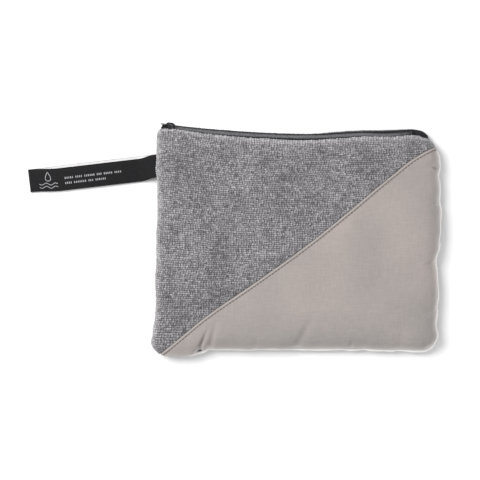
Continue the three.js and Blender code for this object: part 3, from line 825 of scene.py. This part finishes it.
# ---- The front's two panels ----

FOLD_ASIDE = np.array([-0.55, -0.35, -0.1, 0.2, 0.6, 1.0, 1.3, 1.55, 1.75, 1.95, 2.15, 2.4, 2.7, 3.0, 3.4])
FOLD_LIFT = np.array(
    [-1.0, -0.5, -0.05, 0.18, 0.28, 0.26, 0.16, 0.0, -0.22, -0.34, -0.26, -0.05, 0.04, 0.02, -0.2]
)


def seam_roll():
    """The smooth panel's seam edge, turned out as a narrow flat roll along the bottom and the right side;
    front_panels colours it with a near-white painted highlight.
    """
    start = front.u[4, cut[4]] + 0.12
    stop = front.v[np.nonzero(cut < front.u.shape[1] - 5)[0][-1], 0] - 0.02
    u = np.concatenate([np.linspace(start, 1, 500), np.full(400, 1.0)])
    v = np.concatenate([np.full(500, -1.0), np.linspace(-1, stop, 401)[1:]])
    path, travel = along(pouch_point(False, u, v), 0.7)
    outward = unit(np.cross(np.gradient(path, axis=0), np.array([0.0, 0.0, 1.0])))
    ends = smoothstep(travel, 0, 8) * (1 - smoothstep(travel, travel[-1] - 6, travel[-1]))
    half = (1.15 + 0.35 * clouds(travel, travel * 0, 6, 15)) * (0.2 + 0.8 * ends)
    path = path + outward * (0.75 * half)[:, None]
    path[:, 2] = SEAM_HEIGHT + 0.8 + 0.4 * clouds(travel, travel * 0, 9, 16)
    turn = np.linspace(0, 2 * math.pi, 10, endpoint=False)
    points = path[:, None] + outward[:, None] * (half[:, None] * np.cos(turn))[..., None]
    points[..., 2] += 0.6 * np.sin(turn)
    return points.reshape(-1, 3), grid_faces(*points.shape[:2], closed_columns=True)


def front_panels():
    x, y = base[..., 0], base[..., 1]
    beyond = beyond_seam(base)
    pile = terry_loops(*x.shape, 4, 11)
    soft = undulation(x, y) * calm(base)
    tucked = 1 - smoothstep(-beyond, 0.0, 1.5)
    terry_lift = 1.0 * (pile - 0.4) * free - 1.3 * tucked
    smooth_lift = -1.0 * (1 - smoothstep(beyond, 1.9, 2.7))
    cloud = 0.5 + 0.3 * clouds(x, y, 17, 7) + 0.2 * clouds(x, y, 6, 8)
    cloud = cloud - 0.25 * (1 - smoothstep(y - BOTTOM, 20, 90))
    from_hem = np.maximum(pouch_point(True, front.u[-1:], front.v[-1:])[0, :, 1] - y, 0)
    # Painted highlight on the loop tips along the zip's hem and along the left side.
    terry_painted_highlight = 0.8 * pile * (1 - smoothstep(from_hem, 0.3, 4.0)) * zip_share(x)
    terry_painted_highlight = np.maximum(terry_painted_highlight, 0.6 * pile * (1 - smoothstep(x - base[:, 4, 0][:, None], 1.0, 5.0)))
    shade = 0.52 + 0.3 * clouds(x, y, 30, 12) + 0.2 * np.exp(-np.maximum(beyond, 0) / 25)
    shade = shade - 0.3 * (1 - smoothstep(y - BOTTOM, 5, 40)) - 0.15 * smoothstep(x, 75, 112)

    terry_faces, smooth_faces = split_faces(front, cut, HEM_ROWS)
    points = stray(base, free * (1 - tucked), 21, 4, 1.6) + facing * (soft + terry_lift)[..., None]
    points, faces, attributes = used_only(
        points.reshape(-1, 3), terry_faces, {"pile": pile, "cloud": cloud, "rim": terry_painted_highlight}
    )
    yield make_mesh("front_terry", points, faces, [TERRY], attributes)

    points = base + facing * (soft + smooth_lift)[..., None]
    # Painted highlight on the smooth panel's lower, rounded edges.
    smooth_painted_highlight = 0.28 * (1 - smoothstep(base[..., 2], 11.5, 17.5))
    points, faces, attributes = used_only(
        points.reshape(-1, 3), smooth_faces, {"shade": shade, "rim": smooth_painted_highlight}
    )
    u, v = seam_path()
    fold, _ = on_front(u, v, FOLD_ASIDE, FOLD_LIFT)
    faces.append(grid_faces(*fold.shape[:2], first=len(points))[:, ::-1])
    # Painted highlight on the fold's crest, and painted shade in the groove where the topstitch lies.
    fold_painted_highlight = np.tile(0.05 * np.exp(-(((FOLD_ASIDE - 0.6) / 0.5) ** 2)), len(u))
    fold_shade = np.tile(0.5 - 0.7 * np.exp(-(((FOLD_ASIDE - 1.95) / 0.3) ** 2)), len(u))
    roll, roll_faces = seam_roll()
    faces.append(roll_faces + len(points) + len(fold_painted_highlight))
    # The seam's roll takes the full near-white painted highlight.
    attributes = {
        "shade": np.concatenate([attributes["shade"], fold_shade, np.full(len(roll), 0.9)]),
        "rim": np.concatenate([attributes["rim"], fold_painted_highlight, np.ones(len(roll))]),
    }
    points = np.concatenate([points, fold.reshape(-1, 3), roll])
    yield make_mesh("front_smooth", points, faces, [SMOOTH], attributes)


terry_piece, smooth_piece = front_panels()
ridden(terry_piece, "pouch", "terry_cloth", "front_terry_panel")
ridden(smooth_piece, "pouch", "smooth_cloth", "front_smooth_panel")


# ---- The back panel ----


def back_panel():
    panel = Panel(False, 0.7, 0.64)
    points, out, loose = panel.points()
    pile = terry_loops(*loose.shape, 3, 31)
    flat = 1 - smoothstep(points[..., 2], 0.0, 3.0)
    points = stray(points, loose, 41, 3, 1.5) + out * (0.9 * loose * (pile - 0.4 - 0.6 * flat))[..., None]
    points[..., 2] = np.maximum(points[..., 2], 0.0)
    cloud = 0.5 + 0.3 * clouds(points[..., 0], points[..., 1], 17, 37)
    cloud = cloud + 0.2 * clouds(points[..., 0], points[..., 1], 6, 38)
    attributes = {"pile": pile, "cloud": cloud, "rim": np.zeros(pile.shape)}
    faces = grid_faces(*pile.shape)[:, ::-1]
    return make_mesh("back_terry", points.reshape(-1, 3), [faces], [TERRY], attributes)


back_piece = ridden(back_panel(), "pouch", "terry_cloth", "back_panel")

# ---- Sewing threads ----


def thread_piece(name, lines, radius, material, slot, body, *nodes):
    points, faces = tubes(lines, radius)
    return ridden(make_mesh(name, points, faces, [material]), body, slot, *nodes)


def side_seam():
    """Small stitches down in the seam between the front and the back."""
    side = np.linspace(0.88, -1, 300)
    along_bottom = np.linspace(-1, 1, 400)
    u = np.concatenate([np.full(300, -1.0), along_bottom[1:-1], np.full(300, 1.0)])
    v = np.concatenate([side, np.full(398, -1.0), side[::-1]])
    path = pouch_point(True, u, v)
    path[:, 2] = SEAM_HEIGHT
    centre = np.array([(LEFT + RIGHT) / 2, -4, SEAM_HEIGHT])
    inward = unit(centre - path)
    even, _ = along(path, 0.8)
    outward = -np.stack([np.interp(np.linspace(0, 1, len(even)), np.linspace(0, 1, len(path)), inward[:, k])
                         for k in range(3)], 1)
    return stitch_lines(even, outward, 2.4, 0.8, -0.25, 0.9)


def diagonal_stitches():
    u, v = seam_path()
    path, up = on_front(u, v, np.array([1.95]), np.array([-0.1]))
    keep = slice(8, -8)
    return stitch_lines(path[keep, 0], up[keep], 2.5, 0.7, 0.16, 0.3)


thread_piece("side_seam_stitches", side_seam(), 0.25, GREY_THREAD, "grey_thread", "pouch",
             "side_seam_thread")
thread_piece("diagonal_stitches", diagonal_stitches(), 0.26, TAUPE_THREAD, "taupe_thread", "pouch",
             "diagonal_topstitch_thread")

# ---- The zip ----


def strip_section(line, thickness, count=26):
    """A closed section round a line of (across, proud) points, with half-round ends."""
    line = np.array(line, float)
    steps = np.concatenate([[0], np.cumsum(np.hypot(*np.diff(line, axis=0).T))])
    even = np.linspace(0, steps[-1], count)
    line = np.stack([np.interp(even, steps, line[:, k]) for k in range(2)], 1)
    ahead = unit(np.gradient(line, axis=0))
    side = np.stack([-ahead[:, 1], ahead[:, 0]], 1) * thickness / 2
    turns = np.radians([-45, 0, 45])
    end = [line[-1] - side[-1] * math.sin(t) + ahead[-1] * thickness / 2 * math.cos(t) for t in turns]
    start = [line[0] + side[0] * math.sin(t) - ahead[0] * thickness / 2 * math.cos(t) for t in turns]
    return np.concatenate([line + side, np.array(end), (line - side)[::-1], np.array(start)])


def face_place(out, z):
    """The (across, proud) place on the zip's face of an (out, z) point."""
    dz = z - ZIP_HEIGHT
    lean = math.cos(ZIP_LEAN)
    return (dz - out) * lean, (dz + out) * lean


def zip_tape(name, narrow, spread, node):
    """A woven tape, whose inner edge lies under the coil sewn on it."""
    sections = [strip_section(line, TAPE_THICKNESS) for line in (narrow, spread)]
    points = zip_sweep(*sections, LEFT + 1.0, RIGHT - 3.5, 0.8)
    rows, columns = points.shape[:2]
    faces = grid_faces(rows, columns, closed_columns=True)
    ends = [np.arange(columns)[::-1], (rows - 1) * columns + np.arange(columns)]
    fans = np.array([(ring[0], ring[k], ring[k + 1]) for ring in ends for k in range(1, columns - 1)])
    piece = make_mesh(name, points.reshape(-1, 3), [faces, fans], [TAPE])
    return ridden(piece, "pouch", "zip_tape", node)


UNDER_COIL = [(0.3, -0.62), (2.2, -0.62), (2.8, -0.12), (3.3, 0.0)]
FRONT_TAPE = UNDER_COIL + [(8.6, 0.0)]
FAR_UNDER_COIL = [(-across, proud) for across, proud in UNDER_COIL]
BACK_TAPE_SPREAD = FAR_UNDER_COIL + [(-4.0, 0), face_place(2.5, 4.0), face_place(2.3, 3.2),
                                     face_place(1.5, 2.6)]
BACK_TAPE_NARROW = FAR_UNDER_COIL[:2] + [(-2.9, -0.3), face_place(2.5, 4.9), face_place(2.4, 4.0),
                                         face_place(2.0, 3.2), face_place(0.8, 2.6)]
zip_tape("front_tape", FRONT_TAPE, FRONT_TAPE, "zip_front_tape")
zip_tape("back_tape", BACK_TAPE_NARROW, BACK_TAPE_SPREAD, "zip_back_tape")


def coil(side):
    """One nylon coil: a flattened helix whose heads mesh with the other coil's."""
    turns = (COIL_RIGHT - COIL_LEFT - 1) / COIL_PITCH
    turn = np.arange(0, turns * 2 * math.pi, 2 * math.pi / 18)
    squared = lambda wave: np.sign(wave) * np.abs(wave) ** 0.7
    x = COIL_LEFT + 0.5 + COIL_PITCH * (turn / (2 * math.pi) + (0.5 if side < 0 else 0))
    parted = sum(np.exp(-(((x - post) / 1.5) ** 4)) for post in SLIDER_POSTS)
    across = side * (0.95 + 0.33 * parted - (1.02 - 0.33 * parted) * squared(np.cos(turn)))
    proud = 0.2 + 0.45 * squared(np.sin(turn))
    out, z = on_face(across, proud)
    line = zip_place(zip_angle(x), out, z)
    points, faces = tubes(line[None], COIL_WIRE, sides=6)
    return points, faces


def chain_stitches(side):
    """The stitches that hold a coil to its tape."""
    x = np.arange(COIL_LEFT, COIL_RIGHT, 0.5)
    out, z = on_face(side * 2.65, 0.15)
    path = zip_place(zip_angle(x), out, z)
    normal = np.tile([0.0, math.sin(ZIP_LEAN), math.cos(ZIP_LEAN)], (len(x), 1))
    return stitch_lines(path, normal, 1.5, 0.35, 0.08, 0.2)


for name, side in (("front", 1), ("back", -1)):
    points, faces = coil(side)
    piece = make_mesh(f"{name}_coil", points, faces, [NYLON])
    ridden(piece, "pouch", "zip_coil", f"zip_{name}_coil")
    points, faces = tubes(chain_stitches(side), 0.2)
    ridden(make_mesh(f"{name}_chain_stitches", points, faces, [BLACK_THREAD]), "pouch", "black_thread")


def bevelled(node, name, width, segments, material, body, slot, slim=1.0, roll=0.0):
    """A CAD node's own shape with its edges rounded, and made thinner or rolled about X."""
    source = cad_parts[node]
    shape = bmesh.new()
    shape.from_mesh(source.data)
    bmesh.ops.remove_doubles(shape, verts=shape.verts, dist=1e-6)
    bmesh.ops.dissolve_limit(shape, angle_limit=math.radians(2), verts=shape.verts, edges=shape.edges)
    sharp = [e for e in shape.edges if e.is_manifold and e.calc_face_angle(0) > math.radians(25)]
    bmesh.ops.bevel(shape, geom=sharp, offset=width * MM, offset_type="OFFSET", segments=segments,
                    profile=0.6, affect="EDGES", clamp_overlap=True)
    places = np.array([v.co[:] for v in shape.verts])
    middle = places.mean(0)
    thinnest = np.linalg.svd(places - middle, full_matrices=False)[2][2]
    places -= np.outer((places - middle) @ thinnest, thinnest) * (1 - slim)
    turned = Matrix.Rotation(roll, 3, "X")
    for vertex, place in zip(shape.verts, places):
        vertex.co = turned @ Vector(place - middle) + Vector(middle)
    mesh = bpy.data.meshes.new(name)
    shape.to_mesh(mesh)
    shape.free()
    mesh.materials.append(material)
    mesh.polygons.foreach_set("use_smooth", np.ones(len(mesh.polygons), bool))
    mesh.set_sharp_from_angle(angle=math.radians(40))
    piece = bpy.data.objects.new(name, mesh)
    bpy.context.scene.collection.objects.link(piece)
    return ridden(piece, body, slot, node)


bevelled("zip_front_top_stop", "front_top_stop", 0.2, 2, METAL, "pouch", "dark_metal")
bevelled("zip_back_top_stop", "back_top_stop", 0.2, 2, METAL, "pouch", "dark_metal")
bevelled("zip_bottom_stop", "bottom_stop", 0.2, 2, METAL, "pouch", "dark_metal")
bevelled("zip_slider_body", "slider_body", 0.22, 3, METAL, "slider", "dark_metal")
bevelled("zip_slider_bail", "slider_bail", 0.2, 2, METAL, "slider", "dark_metal", slim=0.75)
bevelled("zip_pull_tab", "pull_tab", 0.2, 2, METAL, "pull_tab", "dark_metal", slim=0.6,
         roll=math.radians(-12))


def bar_tack(x):
    """A close zigzag across both tapes."""
    lines = []
    for k in range(7):
        across = np.linspace(-3.0, 3.0, 9)
        proud = 0.35 - 0.5 * np.abs(across / 3.0) ** 6
        out, z = on_face(across, proud)
        lean = 0.25 * np.sin(across * 2) + 0.22 * (k - 3)
        lines.append(zip_place(zip_angle(x + lean), out, z))
    return np.stack(lines)


thread_piece("left_end_tack", bar_tack(ZIP_LEFT - 0.8), 0.17, BLACK_THREAD, "black_thread", "pouch",
             "zip_left_end_tack")
thread_piece("right_end_tack", bar_tack(ZIP_RIGHT + 0.9), 0.17, BLACK_THREAD, "black_thread", "pouch",
             "zip_right_end_tack")

# ---- The ribbon loop ----

STRAP_AHEAD = np.array([-math.cos(STRAP_SLANT), -math.sin(STRAP_SLANT), 0.0])
STRAP_UPWARD = np.array([-math.sin(STRAP_SLANT), math.cos(STRAP_SLANT), 0.0])


def strap_place(distance, across, z, upper):
    """`distance` runs out from the root, `across` towards the zip; the layers lie a little apart."""
    held = smoothstep(distance, 0, 14) * (1 - smoothstep(distance, 84, STRAP_LENGTH - 1))
    aside = across + held * np.where(upper, -1.9, 0.4)
    flat = np.array([ROOT_X, ROOT_Y, 0]) + distance[..., None] * STRAP_AHEAD
    flat = flat + aside[..., None] * STRAP_UPWARD
    flat[..., 2] = z
    return flat


def strap_height(distance, upper):
    laid = STRAP_HIGH if upper else STRAP_LOW
    root = SEAM_HEIGHT + (0.35 if upper else -0.35)
    drop = root + (laid - root) * smoothstep(distance, 0, STRAP_DROP)
    arch = 0.7 * smoothstep(distance, 15, 45) * (1 - smoothstep(distance, 70, 104)) if upper else 0
    return drop + arch


def strap_ribbon():
    out = np.concatenate([np.arange(-4, 16, 0.6), np.arange(16, STRAP_LENGTH - 1.2, 1.5)])
    far = STRAP_LENGTH - 1.0
    radius = (STRAP_HIGH - STRAP_LOW) / 2
    fold = np.radians(np.linspace(-90, 90, 13))
    distance = np.concatenate([out, far + radius * np.cos(fold), out[::-1]])
    height = np.concatenate([
        strap_height(out, False),
        (STRAP_HIGH + STRAP_LOW) / 2 + radius * np.sin(fold),
        strap_height(out[::-1], True),
    ])
    share = np.concatenate([np.zeros(len(out)), (np.sin(fold) + 1) / 2, np.ones(len(out))])
    along_z = np.stack([np.gradient(distance), np.gradient(height)], 1)
    normal = unit(np.stack([along_z[:, 1], -along_z[:, 0]], 1)) * STRAP_THICKNESS / 2
    across = np.linspace(-STRAP_WIDTH / 2, STRAP_WIDTH / 2, 21)
    edge = 0.12 * (np.abs(across) / (STRAP_WIDTH / 2)) ** 8
    travel = np.concatenate([[0], np.cumsum(np.hypot(np.diff(distance), np.diff(height)))])
    faces_out, faces_in = [], []
    for sign, kept in ((1, faces_out), (-1, faces_in)):
        d = (distance + sign * normal[:, 0])[:, None] + 0 * across
        z = (height + sign * normal[:, 1])[:, None] - sign * edge * np.sign(share - 0.5)[:, None]
        low = strap_place(d, across[None] + 0 * d, z, False)
        high = strap_place(d, across[None] + 0 * d, z, True)
        kept.append(low + (high - low) * share[:, None, None])
    rows, columns = len(distance), len(across)
    points = np.concatenate([faces_out[0].reshape(-1, 3), faces_in[0].reshape(-1, 3)])
    count = rows * columns
    outer = grid_faces(rows, columns)
    inner = grid_faces(rows, columns, first=count)[:, ::-1]
    i = np.arange(rows - 1) * columns
    low = np.stack([i + columns, i, i + count, i + columns + count], 1)
    high = np.stack([i, i + columns, i + columns + count, i + count], 1) + columns - 1
    j = np.arange(columns - 1)
    last = (rows - 1) * columns
    start = np.stack([j, j + 1, j + 1 + count, j + count], 1)
    end = np.stack([j + 1, j, j + count, j + 1 + count], 1) + last
    faces = np.concatenate([outer, inner, low, high, start, end])
    finish = np.concatenate([np.zeros(len(outer)), np.ones(len(inner)), np.zeros(len(low) + len(high)),
                             np.zeros(len(start) + len(end))])
    lengths = np.tile(np.repeat(travel, columns), 2)
    return make_mesh("ribbon_loop", points, [faces], [SATIN, SATIN_INSIDE], {"length": lengths}, finish)


def print_strip(line, width):
    """A flat printed stroke on the ribbon's upper face, along (distance, across) points."""
    line, _ = along(np.array(line, float), 0.6)
    ahead = unit(np.gradient(line, axis=0))
    side = np.stack([-ahead[:, 1], ahead[:, 0]], 1) * width / 2
    edges = np.stack([line - side, line + side], 1)
    height = strap_height(edges[..., 0], True) + STRAP_THICKNESS / 2 + 0.03
    return strap_place(edges[..., 0], edges[..., 1], height, True)


def strap_print():
    """A generic drying mark, a drop over two waves, beside two rows of plain bars."""
    strokes = []
    turn = np.radians(np.linspace(0, 360, 40))
    drop = [(94.5 + 3.3 * math.sin(t) * math.sin(t / 2) ** 1.5, 3.2 + 4.0 * math.cos(t)) for t in turn]
    strokes.append((drop, 0.5))
    for across in (-3.4, -6.2):
        wave = [(86.5 + k * 0.8, across + 0.9 * math.sin(k * 0.8 * 2 * math.pi / 8)) for k in range(21)]
        strokes.append((wave, 0.5))
    for across, groups in ((0.9, (5, 4, 6, 3, 5, 4)), (-3.6, (4, 7, 3, 6))):
        place = 79.5
        for ticks in groups:
            for _ in range(ticks):
                strokes.append(([(place, across - 0.85), (place, across + 0.85)], 0.75))
                place -= 1.6
            place -= 1.4
    points, faces, first = [], [], 0
    for line, width in strokes:
        grid = print_strip(line, width)
        faces.append(grid_faces(*grid.shape[:2], first=first))
        points.append(grid.reshape(-1, 3))
        first += len(points[-1])
    return make_mesh("ribbon_print", np.concatenate(points), [np.concatenate(faces)], [PRINT])


ribbon = strap_ribbon()
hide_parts("strap_ribbon")
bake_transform(ribbon)
print_piece = strap_print()
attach(print_piece, "strap")

tack_across = np.linspace(-9, 9, 40)
tack_path = np.stack([np.full(40, LEFT + 2.4), ROOT_Y + tack_across, np.full(40, SEAM_HEIGHT)], 1)
tack_lines = stitch_lines(tack_path, np.tile([-1.0, 0, 0], (40, 1)), 2.0, 0.5, 0.1, 0.3)
thread_piece("ribbon_tack", tack_lines, 0.25, BLACK_THREAD, "black_thread", "pouch", "strap_tack_thread")

# ---- The folded towel ----


def towel_path():
    """The middle of the towel's double layer from its end: leaves folded to and fro."""
    radius = TOWEL_PITCH / 2
    near, far = 2 * radius, TOWEL_WIDTH - 2 * radius
    line = []
    for leaf in range(TOWEL_LEAVES):
        z = TOWEL_BASE + 1.3 + leaf * TOWEL_PITCH
        rightward = leaf % 2 == 0
        start = 1.0 if leaf == 0 else near
        end = far
        if leaf == TOWEL_LEAVES - 1:
            start, end = near, TOWEL_WIDTH - 1
        places = np.arange(start, end, 2.5)
        places = np.append(places, end)
        line += [(y, z) for y in (places if rightward else places[::-1])]
        if leaf < TOWEL_LEAVES - 1:
            centre = far if rightward else near
            sign = 1 if rightward else -1
            for turn in np.radians([-67.5, -45, -22.5, 0, 22.5, 45, 67.5]):
                line.append((centre + sign * radius * math.cos(turn), z + radius + radius * math.sin(turn)))
    return np.array(line)


def folded_towel():
    line = towel_path()
    ahead = unit(np.gradient(line, axis=0))
    side = np.stack([-ahead[:, 1], ahead[:, 0]], 1)
    half = TOWEL_LENGTH / 2
    flat = np.arange(0, TOWEL_LENGTH - 2, 2.5)
    turn = np.radians(np.linspace(-90, 90, 9))
    x = np.concatenate([-half + flat, half - 1 + TOWEL_HALF_LEAF * np.cos(turn), half - 2 - flat + 1])
    offset = np.concatenate([np.full(len(flat), -TOWEL_HALF_LEAF), TOWEL_HALF_LEAF * np.sin(turn),
                             np.full(len(flat), TOWEL_HALF_LEAF)])
    grid_x = np.broadcast_to(x[None], (len(line), len(x)))
    rows = np.arange(len(line))[:, None] * 2.0
    rough = 0.12 * clouds(grid_x, rows + 0 * grid_x, 3.0, 71)
    away = offset[None] + rough * np.sign(offset)[None]
    y = TOWEL_BOTTOM + line[:, 0][:, None] + side[:, 0][:, None] * away
    z = line[:, 1][:, None] + side[:, 1][:, None] * away
    points = np.stack([grid_x, y, z], -1)
    pile = 0.5 + 0.5 * clouds(grid_x, rows + 0 * grid_x, 2.5, 72)
    attributes = {"pile": pile, "cloud": np.full(pile.shape, 0.5), "rim": np.zeros(pile.shape)}
    return make_mesh("folded_towel", points.reshape(-1, 3), [grid_faces(*pile.shape)], [TOWEL], attributes)


def hem_stitches():
    hem = TOWEL_LENGTH / 2 - 5
    low, high = TOWEL_BOTTOM + 6, TOWEL_BOTTOM + TOWEL_WIDTH - 5
    corners = np.array([(-hem, low), (-hem, high), (hem, high), (hem, low)], float)
    path, _ = along(corners, 0.5)
    z = TOWEL_BASE + 1.3 + (TOWEL_LEAVES - 1) * TOWEL_PITCH + TOWEL_HALF_LEAF + 0.25
    path = np.concatenate([path, np.full((len(path), 1), z)], 1)
    return stitch_lines(path, np.tile([0.0, 0, 1], (len(path), 1)), 2.6, 0.8, 0.15, 0.3)


towel = ridden(folded_towel(), "pouch", "towel_cloth", "towel")
thread_piece("towel_hem_stitches", hem_stitches(), 0.25, GREY_THREAD, "grey_thread", "pouch",
             "towel_hem_thread")

# ---- Floor, light and camera ----


def floor():
    made = Shader("pale_floor", grey(0.92), 0.9, Specular_IOR_Level=0.0)
    made.color(made.ramp(made.noise(60, 2.0), (0.0, grey(0.91)), (1.0, grey(0.93))))
    corners = np.array([(-1, -1, 0), (1, -1, 0), (1, 1, 0), (-1, 1, 0)], float) * 4000
    corners[:, 2] = -0.05
    plane = make_mesh("floor", corners, [np.array([[0, 1, 2, 3]])], [made.material])


def lamp(name, place, size, power):
    data = bpy.data.lights.new(name, "AREA")
    data.shape = "DISK"
    data.size = size
    data.energy = power
    made = bpy.data.objects.new(name, data)
    made.location = place
    made.rotation_euler = (Vector((0, 0, 0)) - Vector(place)).to_track_quat("-Z", "Y").to_euler()
    bpy.context.scene.collection.objects.link(made)


WORLD_LIGHT = 0.62
CAMERA_HEIGHT, CAMERA_X, CAMERA_LENS = 2.0, -0.0522, 171.8  # metres, metres and millimetres


def studio():
    world = bpy.data.worlds.new("studio")
    world.use_nodes = True
    world.node_tree.nodes["Background"].inputs["Color"].default_value = (1.0, 1.0, 1.0, 1.0)
    world.node_tree.nodes["Background"].inputs["Strength"].default_value = WORLD_LIGHT
    bpy.context.scene.world = world
    lamp("key", (-1.13, 0.67, 1.41), 1.2, 37)
    lamp("fill", (1.3, -0.65, 0.5), 1.0, 5.5)
    data = bpy.data.cameras.new("camera")
    camera = bpy.data.objects.new("camera", data)
    data.lens = CAMERA_LENS
    data.sensor_width = 36
    data.clip_end = 100
    camera.location = (CAMERA_X, 0.0, CAMERA_HEIGHT)
    bpy.context.scene.collection.objects.link(camera)
    bpy.context.scene.camera = camera
    bpy.context.scene.view_settings.view_transform = "Standard"


floor()
studio()
